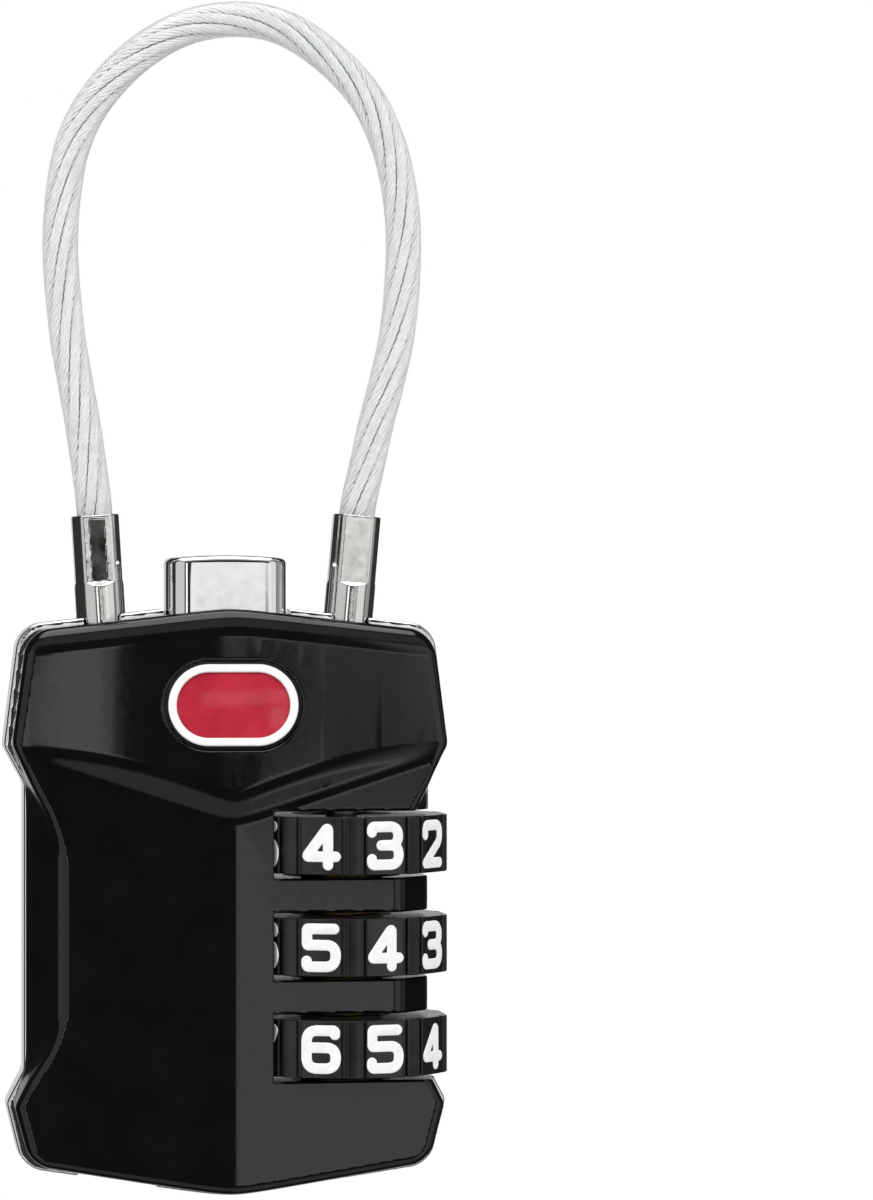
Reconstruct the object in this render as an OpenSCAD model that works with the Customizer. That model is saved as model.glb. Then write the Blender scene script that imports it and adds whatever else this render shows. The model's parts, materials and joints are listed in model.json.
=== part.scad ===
// Cable luggage lock with three number dials, a push button and a cable loop.
// X runs across the body, Y from the front to the back, Z upwards. All sizes are in millimetres.

/* [Body] */
// Width of the metal frame at its widest
body_w = 32.4; // [30:0.1:40]
// Height of the body without its button and cable
body_h = 43.2; // [41:0.1:54]
// Slope of the two top edges, in degrees
top_slope = 6.5; // [3:0.5:10]
// Slope of the two bottom edges, in degrees
bottom_slope = 8.8; // [4:0.2:12]
// Thickness of the metal frame between the covers
frame_t = 3.2; // [2.6:0.1:4]
// How far the frame stands out around the covers
frame_margin = 0.4; // [0.2:0.05:0.6]
// Depth of the front cover's ridge, from the middle of the lock
ridge_y = 6.0; // [5.6:0.1:6.4]
// Depth of the front cover's outer edges, from the middle of the lock
edge_y = 4.7; // [4.5:0.1:5.2]
// How far the upper panel's ridge stands above the lower one
panel_rise = 0.7; // [0.4:0.05:1]
// Depth of the back cover's flat face, from the middle of the lock
back_y = 5.4; // [5.1:0.1:6]
// Height of the foot, below the narrow waist
foot_h = 12.0; // [11:0.1:13]
// Height of the head, above the narrow waist
head_h = 16.9; // [16:0.1:18]
// How far the waist of a cover is hollowed in from the frame
waist_cut = 2.3; // [1.5:0.1:2.6]

/* [Dials] */
// Diameter of a dial
dial_d = 15.3; // [14:0.1:15.6]
// Thickness of a dial
dial_t = 4.15; // [3.6:0.05:4.8]
// Distance from one dial to the next
dial_pitch = 7.3; // [7:0.1:8]
// Height of the middle dial
dial_mid_z = 18.4; // [17.6:0.1:19]
// Width of the flat that carries a number
pad_w = 3.35; // [3:0.05:3.8]
// Diameter of the bore through a dial
dial_bore_d = 7.2; // [6.8:0.1:7.6]

/* [Button] */
// Width of the button
button_w = 8.8; // [7:0.1:10]
// Depth of the button, front to back
button_deep = 4.6; // [3.8:0.1:5]
// Height of the button above the body
button_rise = 3.4; // [2.8:0.1:5]
// Travel of the button
button_travel = 2.2; // [1.8:0.1:2.4]

/* [Cable] */
// Diameter over the clear jacket
cable_d = 2.6; // [2:0.1:2.8]
// Diameter of the wire rope
rope_d = 2.0; // [1.2:0.1:2.1]
// Distance between the two ferrules
ferrule_space = 18.1; // [17.6:0.1:19]
// Diameter of a ferrule
ferrule_d = 3.6; // [3.4:0.1:4]
// Height of a ferrule above the body
ferrule_h = 7.3; // [5:0.1:7.6]
// Lean of the captive ferrule, in degrees
captive_lean = 3.5; // [0:0.5:6]
// Lean of the free ferrule, in degrees
free_lean = 5; // [0:0.5:6]
// Diameter of the stud under the free ferrule
stud_d = 3.2; // [2.8:0.1:3.4]
// Length of that stud
stud_len = 9.0; // [8:0.1:9.2]

/* [Key lock] */
// Diameter of the barrel
barrel_d = 6.2; // [5.6:0.1:6.4]
// Diameter of the plug that the key turns
plug_d = 4.4; // [4:0.1:4.6]
// Distance of the key lock from the middle of the body
key_x = 8.0; // [7.6:0.1:8.2]

/* [Badge] */
// Length of the badge
badge_w = 9.4; // [7:0.1:10]
// Height of the badge
badge_h = 5.9; // [4:0.1:6.4]
// Width of the badge's metal rim
badge_rim_w = 0.6; // [0.4:0.05:1]

/* [Hidden] */
$fn = 64;

run_gap = 0.05;        // radial clearance of a running fit
free_gap = 0.1;        // clearance of a piece that only passes by
cut = 1;               // how far a cutting shape runs past the face it opens
lap = 0.1;             // how far two shapes of one piece run into each other
far = 20;              // beyond every outer face
side_gap = 0.3;        // between the chassis and the walls of its hollow

black = "#17181a";
chrome = "#c9ccd0";
steel = "#9a9da1";
brass = "#b8944e";
red = "#b01f2e";

// Outline of the body
half_w = body_w / 2;
joint_y = frame_t / 2;
corner_x = half_w - 1.1;
widest_z = body_h - 10.4;
frame_waist_x = half_w - 1.45;
waist_flush = 0.05;
frame_waist_top = body_h - 13.1;
frame_waist_low = 9.4;
foot_wide_z = 7.0;
foot_in = 0.2;
foot_corner_x = half_w - 1.35;

// Cover waist at the front, and where it runs out at the frame
waist_y = 4.9;
waist_end_y = 1.9;
waist_top = body_h - head_h;
waist_x = frame_waist_x - waist_flush;

// Upper panel: its V-shaped lower edge and the bevel along its top
v_side_z = body_h - 10.8;
v_top_z = body_h - 14.3;
v_low_z = body_h - 16.0;
panel_bevel_h = 1.5;
panel_bevel_d = 0.6;

// Dials and what carries them
dial_x = half_w - dial_d / 2;
dial_z = [dial_mid_z + dial_pitch, dial_mid_z, dial_mid_z - dial_pitch];
dial_edge = 0.25;
window_gap = 0.33;
window_h = dial_t + 2 * window_gap;
pocket_r = dial_d / 2 + 0.15;
column_right = dial_x - pocket_r - 0.35;
pads = 10;
pad_flat = sqrt(pow(dial_d / 2, 2) - pow(pad_w / 2, 2));
sleeve_r = dial_bore_d / 2 - run_gap;
neck_r = sleeve_r - 0.55;
sleeve_bore_r = 2.3;
bushing_r = neck_r + 1.15;
bushing_h = dial_pitch - window_h;
tunnel_low = dial_z[2] - dial_t / 2 - (dial_pitch - dial_t);
tunnel_top = dial_z[0] + window_h / 2;
leaf_x = column_right - 0.4;
leaf_t = 0.3;
leaf_w = 3.0;
leaf_over = 2.1;
leaf_slot_w = 1.0;
leaf_slot_end = 1.6;
nose_w = 1.4;
nose_hole_w = 1.8;
gate_t = 1.0;
gate_w = 1.3;
spindle_r = 1.15;
fin_r = sleeve_bore_r - free_gap - 0.06;
fin_up = gate_t + 0.15;
fin_w = gate_w - 2 * free_gap;
fin_h = 1.2;
gate_z = [for (z = dial_z) z - dial_t / 2 - (dial_pitch - dial_t) + 0.1];
spindle_low = gate_z[2] - 0.2;

// Hollow inside the case: a column on the left and a band above the dials
wall = 1.2;
hollow_front = -(edge_y - wall + 0.2);
hollow_back = back_y - wall - 0.3;
collar_r = 2.0;
collar_t = 1.2;
hollow_left = -max(half_w - 5, ferrule_space / 2 + collar_r + 0.15);
hollow_right = max(half_w - 4.8, (ferrule_space + stud_d) / 2 + 0.75);
hollow_low = 4.5;
hollow_top = body_h - 3.6;
bridge_y = 3.3;
bridge_t = 1.3;
web_y = 3.9;
collar_top = hollow_top - 0.15;
band_low = tunnel_top + 0.45;

// Button, its slide and its spring
arm_t = 1.3;
arm_low = band_low + button_travel + 0.05;
arm_top = arm_low + arm_t;
arm_deep = 1.6;
arm_left = -3.2;
arm_right = min(dial_x + 1.9, hollow_right - 2 * free_gap);
spindle_neck_r = spindle_r - 0.3;
spindle_head_r = spindle_r + 0.2;
spindle_head_t = 0.2;
stem_x = -1.8;
stem_w = 2.4;
stem_deep = 2.0;
flange_t = 1.2;
flange_out = 0.8;
flange_deep = 0.4;
flange_top = hollow_top - 0.15;
button_top = body_h + button_rise;
button_crown = 0.25;
guide_r = 0.7;
guide_low = band_low - 4.1;
spring_shelf_top = band_low - 4.7;
spring_shelf_t = 0.7;
spring_wire = 0.4;
button_spring_r = 1.2;
button_spring_turns = 6;

// Free ferrule, its stud and the latch
ferrule_x = ferrule_space / 2;
ferrule_z = body_h - ferrule_x * tan(top_slope) + 0.03;
ferrule_foot = 0.6;
socket_floor = ferrule_z - 1.0;
stud_low = ferrule_z - stud_len;
groove_low = stud_low + 1.1;
groove_h = 0.9;
groove_r = stud_d / 2 - 0.5;
latch_t = 0.5;
latch_z = groove_low + (groove_h - latch_t) / 2;
latch_deep = 2.4;
latch_root_x = column_right + 0.8;
latch_root_gap = 0.02;
strip_y = -2.9;
strip_t = 0.4;
strip_drop = 0.6;
strip_run = 2;
shelf_top = stud_low - 0.4;
shelf_low = shelf_top - 0.4;
plate_y = 3.0;
plate_t = 0.7;
latch_top = latch_z + latch_t;
post_in = 0.2;
post_deep = 2.0;
shelf_left = -5;
spring_shelf_left = -3.4;
spring_shelf_low = spring_shelf_top - spring_shelf_t;
ejector_bore_r = 0.8;
ejector_bore_h = 4.8;
ejector_wire = 0.24;
ejector_turns = 7;
captive_stem_r = 1.1;
bore_low = 1.3;
crimp_low = 2.1;
crimp_y = ferrule_d / 2 - 0.18;
tip_h = 0.5;
tip_in = 0.4;

// Key lock, and the frame's web round it
web_left = 0.6;
web_right = 0.9;
barrel_low = key_x * tan(bottom_slope) + 0.9;
barrel_top = 19.5;
web_low = barrel_low + 0.5;
plug_top = barrel_top + 1.4;
keyway_top = barrel_top - 3;
keyway_w = 1.0;
keyway_deep = 2.0;
wafers = 5;
wafer_low = barrel_low + 2.4;
wafer_pitch = 2.4;
wafer_t = 0.6;
wafer_deep = 2.4;
cam_t = 1.3;
cam_reach = 3.5;
cam_peg_r = 0.9;
cam_w = 1.6;
tail_x = cam_reach - key_x + 0.25;
tail_w = 0.8;
press_gap = 0.01;
neck_in = 0.5;
neck_top = barrel_top + 0.6;
plug_sink = 0.3;
retainer_t = 0.4;
retainer_out = 0.6;
retainer_low = barrel_top + 0.15;
retainer_slot = 1.4;

// Cover screws: how far each stands in from the widest point, and how high
screw_r = 0.75;
screw_head_r = 1.3;
screw_head_t = 1.0;
screw_tip_y = -3.2;
screw_slot_w = 0.36;
screw_slot_len = 1.7;
screw_slot_deep = 0.5;
screw_top = [max(half_w - 3.1, ferrule_x + collar_r + screw_r + 0.3), body_h - 5.6];
screw_low = [half_w - 3.6, 4.0];

// Badge on the upper panel, and the index marks beside the dials
badge_z = body_h - 7.4;
badge_floor = -ridge_y;
badge_front = badge_floor - 0.45;
badge_gap = 0.3;
inlay_sink = 0.1;
mark_h = 1.4;
mark_w = 0.9;
mark_sink = 0.2;
mark_proud = 0.12;

// The cable's centre line, from the captive ferrule round to the free one: X and Z
cable_route = [
    [-9.15, 43.8], [-9.5, 49.6], [-9.8, 52.2], [-10.4, 56.3], [-11.1, 60.2], [-11.6, 63.5],
    [-12.0, 68.8], [-11.7, 73.4], [-10.9, 76.9], [-9.2, 80.0], [-6.4, 82.9], [-3.0, 84.9],
    [0.8, 85.6], [4.3, 85.0], [7.5, 83.0], [10.2, 80.2], [11.8, 77.1], [12.7, 73.8],
    [13.1, 70.2], [13.0, 66.2], [12.6, 62.5], [11.9, 59.3], [11.1, 56.2], [10.4, 53.0],
    [9.7, 49.6], [9.2, 43.8]
];
cable_sides = 8;

// ---- Helpers ----

function unit(v) = v / norm(v);

// The points that round corner b, between a and c, with radius b[2]
function corner(a, b, c, steps = 5) =
    let(p = [b[0], b[1]], u = unit([a[0], a[1]] - p), v = unit([c[0], c[1]] - p), r = b[2])
    r == 0 ? [p] :
    let(h = acos(u * v) / 2, m = p + unit(u + v) * r / sin(h), s = p + u * r / tan(h) - m,
        e = p + v * r / tan(h) - m, t0 = atan2(s[1], s[0]), d = atan2(e[1], e[0]) - t0,
        turn = d > 180 ? d - 360 : d < -180 ? d + 360 : d)
    [for (i = [0 : steps]) m + r * [cos(t0 + turn * i / steps), sin(t0 + turn * i / steps)]];

function rounded(pts) =
    let(n = len(pts))
    [for (i = [0 : n - 1]) each corner(pts[(i + n - 1) % n], pts[i], pts[(i + 1) % n])];

// The whole outline from its right half, which runs from the top to the bottom
function both_sides(half) =
    concat(half, [for (i = [len(half) - 2 : -1 : 1]) [-half[i][0], half[i][1], half[i][2]]]);

// The body's outline, m inside the frame's own
function body_outline(m) =
    let(flush = min(m, waist_flush))
    rounded(both_sides([
        [0, body_h - m, 0],
        [corner_x - m, body_h - corner_x * tan(top_slope) - m, 1.8],
        [half_w - m, widest_z, 1.0],
        [frame_waist_x - flush, frame_waist_top - m / 2, 0.8],
        [frame_waist_x - flush, frame_waist_low + m / 2, 0.8],
        [half_w - foot_in - m, foot_wide_z, 1.0],
        [foot_corner_x - m, foot_corner_x * tan(bottom_slope) + m, 1.4],
        [0, m, 0]
    ]));

// A flat shape in X and Z, given thickness from y0 to y1
module slab(y0, y1) {
    rotate([90, 0, 0]) translate([0, 0, -y1]) linear_extrude(y1 - y0) children();
}

// A box between two opposite corners
module block(low, high) {
    translate(low) cube(high - low);
}

// A solid between two four-cornered faces, listed the same way round
module loft4(a, b) {
    polyhedron(
        points = concat(a, b),
        faces = [[0, 1, 2, 3], [7, 6, 5, 4], [4, 5, 1, 0], [5, 6, 2, 1], [6, 7, 3, 2], [7, 4, 0, 3]]
    );
}

// A disc or bar along Z, from z0 to z1
module rod(r, z0, z1) {
    translate([0, 0, z0]) cylinder(r = r, h = z1 - z0);
}

module ring(r_out, r_in, z0, z1) {
    difference() {
        rod(r_out, z0, z1);
        rod(r_in, z0 - cut, z1 + cut);
    }
}

// A stadium in X and Z
module stadium(w, h) {
    translate([-(w - h) / 2, 0]) circle(h / 2);
    translate([(w - h) / 2, 0]) circle(h / 2);
    square([w - h, h], center = true);
}

// Rings of points round a line, turned so that ref stays in each ring's plane
function ring_at(pts, i, r, sides, ref) =
    let(a = pts[max(i - 1, 0)], b = pts[min(i + 1, len(pts) - 1)], t = unit(b - a),
        n = unit(cross(t, ref)), m = cross(n, t))
    [for (k = [0 : sides - 1]) pts[i] + r * (cos(360 * k / sides) * n + sin(360 * k / sides) * m)];

function tube_points(pts, r, sides, ref) = [for (i = [0 : len(pts) - 1]) each ring_at(pts, i, r, sides, ref)];

function wall_faces(rings, sides, first, flip) = [
    for (i = [0 : rings - 2], k = [0 : sides - 1])
        let(a = first + i * sides, j = (k + 1) % sides)
        each flip
            ? [[a + k, a + sides + k, a + sides + j], [a + k, a + sides + j, a + j]]
            : [[a + j, a + sides + j, a + k], [a + sides + j, a + sides + k, a + k]]
];

// A round bar that follows a line
module swept(pts, r, sides, ref) {
    last = (len(pts) - 1) * sides;
    polyhedron(
        points = tube_points(pts, r, sides, ref),
        faces = concat(
            wall_faces(len(pts), sides, 0, false),
            [[for (k = [sides - 1 : -1 : 0]) k]],
            [[for (k = [0 : sides - 1]) last + k]]
        )
    );
}

// A pipe that follows a line
module swept_pipe(pts, r_out, r_in, sides, ref) {
    n = len(pts);
    inner = n * sides;
    last = (n - 1) * sides;
    polyhedron(
        points = concat(tube_points(pts, r_out, sides, ref), tube_points(pts, r_in, sides, ref)),
        faces = concat(
            wall_faces(n, sides, 0, false),
            wall_faces(n, sides, inner, true),
            [for (k = [0 : sides - 1]) let(j = (k + 1) % sides) [inner + k, inner + j, j, k]],
            [for (k = [0 : sides - 1]) let(j = (k + 1) % sides)
                [last + inner + j, last + inner + k, last + k, last + j]]
        )
    );
}

// A wire spring along Z, with r to the middle of its wire
module coil(r, wire, z0, z1, turns) {
    steps = 9;
    low = z0 + wire / 2;
    high = z1 - wire / 2;
    swept(
        [for (i = [0 : turns * steps])
            [r * cos(360 * i / steps), r * sin(360 * i / steps), low + (high - low) * i / (turns * steps)]],
        wire / 2, 6, [0, 0, 1]
    );
}

// ---- Shared cuts in the case ----

// One side's hollow waist, for a cover on the side of Y that dir points to
module waist_scoop(dir) {
    reach = 1.45;
    out = 5;
    top_run = (widest_z - waist_top) / (half_w - frame_margin - (waist_x - waist_cut));
    low_run = (foot_h - foot_wide_z) / (half_w - foot_in - frame_margin - (waist_x - waist_cut));
    x0 = waist_x - waist_cut * reach;
    y0 = dir * (waist_end_y + (waist_y - waist_end_y) * reach);
    top0 = frame_waist_top - (frame_waist_top - waist_top) * reach;
    low0 = frame_waist_low + (foot_h - frame_waist_low) * reach;
    y1 = dir * waist_end_y;
    front = [[x0, y0, low0], [x0, y0, top0], [x0 + out, y0, top0 + out * top_run], [x0 + out, y0, low0 - out * low_run]];
    back = [[waist_x, y1, frame_waist_low], [waist_x, y1, frame_waist_top],
        [waist_x + out, y1, frame_waist_top + out * top_run], [waist_x + out, y1, frame_waist_low - out * low_run]];
    if (dir < 0) loft4(front, back);
    else loft4(back, front);
}

module waist_scoops(dir) {
    waist_scoop(dir);
    mirror([1, 0, 0]) waist_scoop(dir);
}

// The space for the dials, their sleeves and the spindle
module dial_space() {
    translate([dial_x, 0, 0]) {
        for (z = dial_z) rod(pocket_r, z - window_h / 2, z + window_h / 2);
        rod(bushing_r + run_gap, tunnel_low, tunnel_top);
        rod(sleeve_bore_r, spindle_low - button_travel - side_gap, tunnel_low + cut);
        rod(spindle_r + free_gap, tunnel_top - cut, band_low + cut);
    }
    for (z = dial_z) block(
        [column_right - 0.1, -nose_hole_w / 2, z - nose_hole_w / 2],
        [column_right + cut, nose_hole_w / 2, z + nose_hole_w / 2]
    );
}

// The hollow for the mechanism
module inner_space() {
    block([hollow_left, hollow_front, hollow_low], [column_right, hollow_back, hollow_top]);
    block([column_right - cut, hollow_front, band_low], [hollow_right, hollow_back, hollow_top]);
}

module button_hole() {
    w = button_w + 2 * free_gap;
    d = button_deep + 2 * free_gap;
    block([-w / 2, -d / 2, hollow_top - cut], [w / 2, d / 2, far + body_h]);
}

module ferrule_holes() {
    for (side = [-1, 1]) translate([side * ferrule_x, 0, 0]) {
        rod(ferrule_d / 2 + free_gap, socket_floor, body_h + cut);
        rod((side < 0 ? captive_stem_r : stud_d / 2) + run_gap, hollow_top - cut, socket_floor + cut);
    }
}

module key_hole() {
    translate([-key_x, 0, 0]) rod(barrel_d / 2 + run_gap, -cut, hollow_low + cut);
}

module at_screws() {
    for (side = [-1, 1], p = [screw_top, screw_low]) translate([side * p[0], 0, p[1]]) children();
}

module screw_shape(shank, head, tip_y) {
    rotate([-90, 0, 0]) {
        rod(shank, tip_y, back_y);
        rod(head, back_y - screw_head_t, back_y);
    }
}

module case_cuts() {
    dial_space();
    inner_space();
    button_hole();
    ferrule_holes();
    key_hole();
    at_screws() screw_shape(screw_r + run_gap, screw_head_r + run_gap, screw_tip_y - free_gap);
    at_screws() slab(back_y - cut, back_y + cut) circle(screw_head_r + run_gap);
}

// The right side beside the dials, where the covers' ribs meet in the middle of the lock
module rib_zone(y0, y1) {
    block([column_right, y0, dial_z[2] - window_h / 2], [far, y1, tunnel_top]);
}

// Where the frame widens inside the covers: under the button and round the key lock
module frame_bridges(gap) {
    block(
        [hollow_left - gap, -bridge_y - gap, hollow_top],
        [hollow_right + gap, bridge_y + gap, hollow_top + bridge_t + gap]
    );
    block(
        [-key_x - barrel_d / 2 - web_left - gap, -web_y - gap, web_low - gap],
        [-key_x + barrel_d / 2 + web_right + gap, web_y + gap, hollow_low]
    );
}

// A cover before its cuts, from its outer face y_out to the frame, with its ribs
module cover_blank(y_out) {
    side = sign(y_out);
    slab(min(y_out, side * joint_y), max(y_out, side * joint_y)) polygon(body_outline(frame_margin));
    intersection() {
        slab(min(side * (joint_y + cut), 0), max(side * (joint_y + cut), 0)) polygon(body_outline(frame_margin));
        rib_zone(-joint_y - cut, joint_y + cut);
    }
}

// A roof-shaped block, with its ridge and its outer edges at these depths
module roof(ridge, edge) {
    slope = (ridge - edge) / (half_w - frame_margin);
    low = -(edge - slope * (far - half_w + frame_margin));
    linear_extrude(body_h + far) polygon([[-far, 0], [far, 0], [far, low], [0, -ridge], [-far, low]]);
}

// One half of the raised upper panel
module upper_panel_half() {
    x1 = half_w - frame_margin;
    top = body_h + cut;
    inside = joint_y + 1.4;
    fall = (v_top_z - v_low_z) / panel_rise;
    ridge = ridge_y + panel_rise;
    middle_in = v_top_z - (ridge - inside) * fall;
    side_in = v_side_z - (edge_y - inside) * fall;
    loft4(
        [[0, -ridge, v_top_z], [0, -inside, middle_in], [0, -inside, top], [0, -ridge, top]],
        [[x1, -edge_y, v_side_z], [x1, -inside, side_in], [x1, -inside, top], [x1, -edge_y, top]]
    );
}

// What the bevel along one half of the panel's top edge takes away
module panel_bevel_half() {
    x1 = half_w;
    h = panel_bevel_h;
    d = panel_bevel_d;
    z0 = body_h - frame_margin;
    z1 = z0 - x1 * tan(top_slope);
    y0 = -(ridge_y + panel_rise);
    y1 = -edge_y;
    loft4(
        [[0, y0, z0 - h], [0, y0 + 2 * d, z0 + h], [0, y0 - 2, z0 + h], [0, y0 - 2, z0 - h]],
        [[x1, y1, z1 - h], [x1, y1 + 2 * d, z1 + h], [x1, y1 - 2, z1 + h], [x1, y1 - 2, z1 - h]]
    );
}

// ---- Case ----

module front_cover() color(black) difference() {
    intersection() {
        cover_blank(-far);
        union() {
            roof(ridge_y, edge_y);
            upper_panel_half();
            mirror([1, 0, 0]) upper_panel_half();
        }
    }
    panel_bevel_half();
    mirror([1, 0, 0]) panel_bevel_half();
    waist_scoops(-1);
    case_cuts();
    frame_bridges(run_gap);
    index_blocks(free_gap / 2);
    translate([0, 0, badge_z]) slab(-far, badge_floor) stadium(badge_w + 2 * badge_gap, badge_h + 2 * badge_gap);
}

module middle_frame() color(chrome) difference() {
    union() {
        difference() {
            slab(-joint_y, joint_y) polygon(body_outline(0));
            rib_zone(-far, far);
        }
        frame_bridges(0);
    }
    case_cuts();
}

module back_cover() color(black) difference() {
    cover_blank(back_y);
    waist_scoops(1);
    case_cuts();
    frame_bridges(run_gap);
    index_blocks(free_gap / 2);
}

module badge_rim() color(chrome) translate([0, 0, badge_z]) slab(badge_front, badge_floor) difference() {
    stadium(badge_w, badge_h);
    stadium(badge_w - 2 * badge_rim_w, badge_h - 2 * badge_rim_w);
}

module badge_inlay() color(red) translate([0, 0, badge_z]) slab(badge_front + inlay_sink, badge_floor)
    stadium(badge_w - 2 * badge_rim_w, badge_h - 2 * badge_rim_w);

module index_blocks(gap) {
    for (i = [0, 1]) {
        z = (dial_z[i] + dial_z[i + 1]) / 2;
        block(
            [waist_x - mark_sink - gap, -mark_w / 2 - gap, z - mark_h / 2 - gap],
            [waist_x + mark_proud, mark_w / 2 + gap, z + mark_h / 2 + gap]
        );
    }
}

module index_marks() color(red) index_blocks(0);

module cover_screws() color(black) at_screws() difference() {
    screw_shape(screw_r, screw_head_r, screw_tip_y);
    for (turn = [0, 90]) rotate([0, turn, 0])
        block(
            [-screw_slot_len / 2, back_y - screw_slot_deep, -screw_slot_w / 2],
            [screw_slot_len / 2, back_y + cut, screw_slot_w / 2]
        );
}

// ---- Inside ----

// A back plate with the shelf under the ejector spring, a post for the latch and the button's spring shelf
module chassis() color(steel) difference() {
    back = plate_y + plate_t;
    right = hollow_right - side_gap;
    union() {
        block([hollow_left + side_gap, plate_y, arm_low], [right, back, hollow_top - side_gap]);
        block([shelf_left, plate_y, spring_shelf_low], [column_right - side_gap, back, arm_low]);
        block([column_right - post_in, -latch_deep, shelf_low], [right, plate_y, shelf_top]);
        block([column_right - post_in, -post_deep, shelf_top], [latch_root_x - latch_root_gap, plate_y, latch_top]);
        block([spring_shelf_left, -arm_deep, spring_shelf_low], [leaf_x - side_gap / 2, plate_y, spring_shelf_top]);
    }
    translate([stem_x, 0, 0]) rod(guide_r + run_gap, spring_shelf_low - cut, spring_shelf_top + cut);
}

// A leaf with one nose for each dial
module detent_spring() color(steel) {
    difference() {
        block([leaf_x, -leaf_w / 2, dial_z[2] - leaf_over], [leaf_x + leaf_t, leaf_w / 2, dial_z[0] + leaf_over]);
        for (i = [0, 1]) block(
            [leaf_x - cut, -leaf_slot_w / 2, dial_z[i + 1] + leaf_slot_end],
            [leaf_x + cut, leaf_slot_w / 2, dial_z[i] - leaf_slot_end]
        );
    }
    for (z = dial_z) block(
        [leaf_x + leaf_t, -nose_w / 2, z - nose_w / 2],
        [dial_x - dial_d / 2 - free_gap, nose_w / 2, z + nose_w / 2]
    );
}

module dial_bushings() color(black) translate([dial_x, 0, 0]) for (z = dial_z)
    ring(bushing_r, neck_r + run_gap, z - window_h / 2 - bushing_h, z - window_h / 2);

module ejector_spring() color(steel) translate([ferrule_x, 0, 0])
    coil(
        ejector_bore_r - ejector_wire / 2 - free_gap, ejector_wire,
        shelf_top, stud_low + ejector_bore_h - free_gap, ejector_turns
    );

module button_spring() color(steel) translate([stem_x, 0, 0])
    coil(button_spring_r, spring_wire, spring_shelf_top, arm_low, button_spring_turns);

// A forked spring plate that holds the stud by its groove, with a tail down to the key lock's cam
module latch_blade() color(steel) {
    root_right = latch_root_x + strip_run;
    strip_front = strip_y - strip_t;
    slot_r = groove_r + free_gap;
    difference() {
        block([latch_root_x, -latch_deep, latch_z], [hollow_right - 2 * side_gap, latch_deep, latch_top]);
        translate([ferrule_x, 0, 0]) rod(slot_r, latch_z - cut, latch_top + cut);
        block([ferrule_x, -slot_r, latch_z - cut], [far, slot_r, latch_top + cut]);
    }
    block([latch_root_x, -latch_deep, shelf_top], [latch_root_x + latch_t, latch_deep, latch_z]);
    block([latch_root_x, strip_front, latch_z - strip_drop], [root_right, -latch_deep, latch_top]);
    block([tail_x, strip_front, latch_z - strip_drop], [root_right, strip_y, latch_top]);
    block([tail_x, strip_front, plug_top], [tail_x + tail_w, strip_y, latch_top]);
    block([tail_x, strip_y, plug_top], [tail_x + tail_w / 2, cam_peg_r, plug_top + cam_t]);
}

// ---- Cable ----

function route_3d() = [for (p = cable_route) [p[0], 0, p[1]]];

module wire_rope() color(steel) swept(route_3d(), rope_d / 2, cable_sides, [0, 1, 0]);

module cable_jacket() color("#dfe4e8")
    swept_pipe(route_3d(), cable_d / 2, rope_d / 2 + 0.03, cable_sides, [0, 1, 0]);

// A crimped sleeve round the end of the cable, leaning outwards on side
module ferrule_sleeve(side, lean) {
    translate([side * ferrule_x, 0, ferrule_z]) rotate([0, side * lean, 0]) difference() {
        rod(ferrule_d / 2, -ferrule_foot, ferrule_h);
        rod(cable_d / 2 + free_gap, bore_low, ferrule_h + cut);
        for (turn = [0, 180]) rotate([0, 0, turn]) block([-far, crimp_y, crimp_low], [far, far, ferrule_h + cut]);
    }
}

module captive_ferrule() color(chrome) {
    ferrule_sleeve(-1, captive_lean);
    translate([-ferrule_x, 0, 0]) rod(captive_stem_r, collar_top - collar_t, ferrule_z);
}

module captive_collar() color(steel) translate([-ferrule_x, 0, 0])
    ring(collar_r, captive_stem_r + press_gap, collar_top - collar_t, collar_top);

module free_ferrule() color(chrome) {
    ferrule_sleeve(1, free_lean);
    translate([ferrule_x, 0, 0]) difference() {
        union() {
            rod(stud_d / 2, groove_low + groove_h, ferrule_z);
            rod(groove_r, groove_low - free_gap, groove_low + groove_h + free_gap);
            rod(stud_d / 2, stud_low + tip_h, groove_low);
            translate([0, 0, stud_low]) cylinder(r1 = stud_d / 2 - tip_in, r2 = stud_d / 2, h = tip_h);
        }
        rod(ejector_bore_r, stud_low - cut, stud_low + ejector_bore_h);
    }
}

// ---- Button ----

// The part that shows, with its crowned top
module button_cap() difference() {
    union() {
        linear_extrude(button_top - button_crown) square([button_w, button_deep], center = true);
        translate([0, 0, button_top - button_crown]) rotate([90, 0, 0])
            linear_extrude(button_deep, center = true)
            polygon([[-button_w / 2, -lap], [button_w / 2, -lap], [button_w / 2, 0],
                [button_w / 4, button_crown * 0.8], [0, button_crown],
                [-button_w / 4, button_crown * 0.8], [-button_w / 2, 0]]);
    }
    block([-far, -far, -cut], [far, far, flange_top]);
}

module button_flange() {
    w = button_w / 2 + flange_out;
    d = button_deep / 2 + flange_deep;
    block([-w, -d, flange_top - flange_t], [w, d, flange_top]);
    block([stem_x - stem_w / 2, -stem_deep / 2, arm_top], [stem_x + stem_w / 2, stem_deep / 2, flange_top]);
}

module push_button() color(chrome) {
    button_cap();
    button_flange();
}

module button_slide() color(steel) {
    difference() {
        block([arm_left, -arm_deep, arm_low], [arm_right, arm_deep, arm_top]);
        translate([dial_x, 0, 0]) rod(spindle_neck_r + run_gap, arm_low - cut, arm_top + cut);
    }
    translate([stem_x, 0, 0]) rod(guide_r, guide_low, arm_low);
}

module lock_spindle() color(steel) translate([dial_x, 0, 0]) {
    rod(spindle_r, spindle_low, arm_low);
    rod(spindle_neck_r, arm_low, arm_top);
    rod(spindle_head_r, arm_top, arm_top + spindle_head_t);
    for (z = gate_z) block([-fin_r, -fin_w / 2, z + fin_up], [fin_r, fin_w / 2, z + fin_up + fin_h]);
}

// ---- Dials ----

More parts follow.
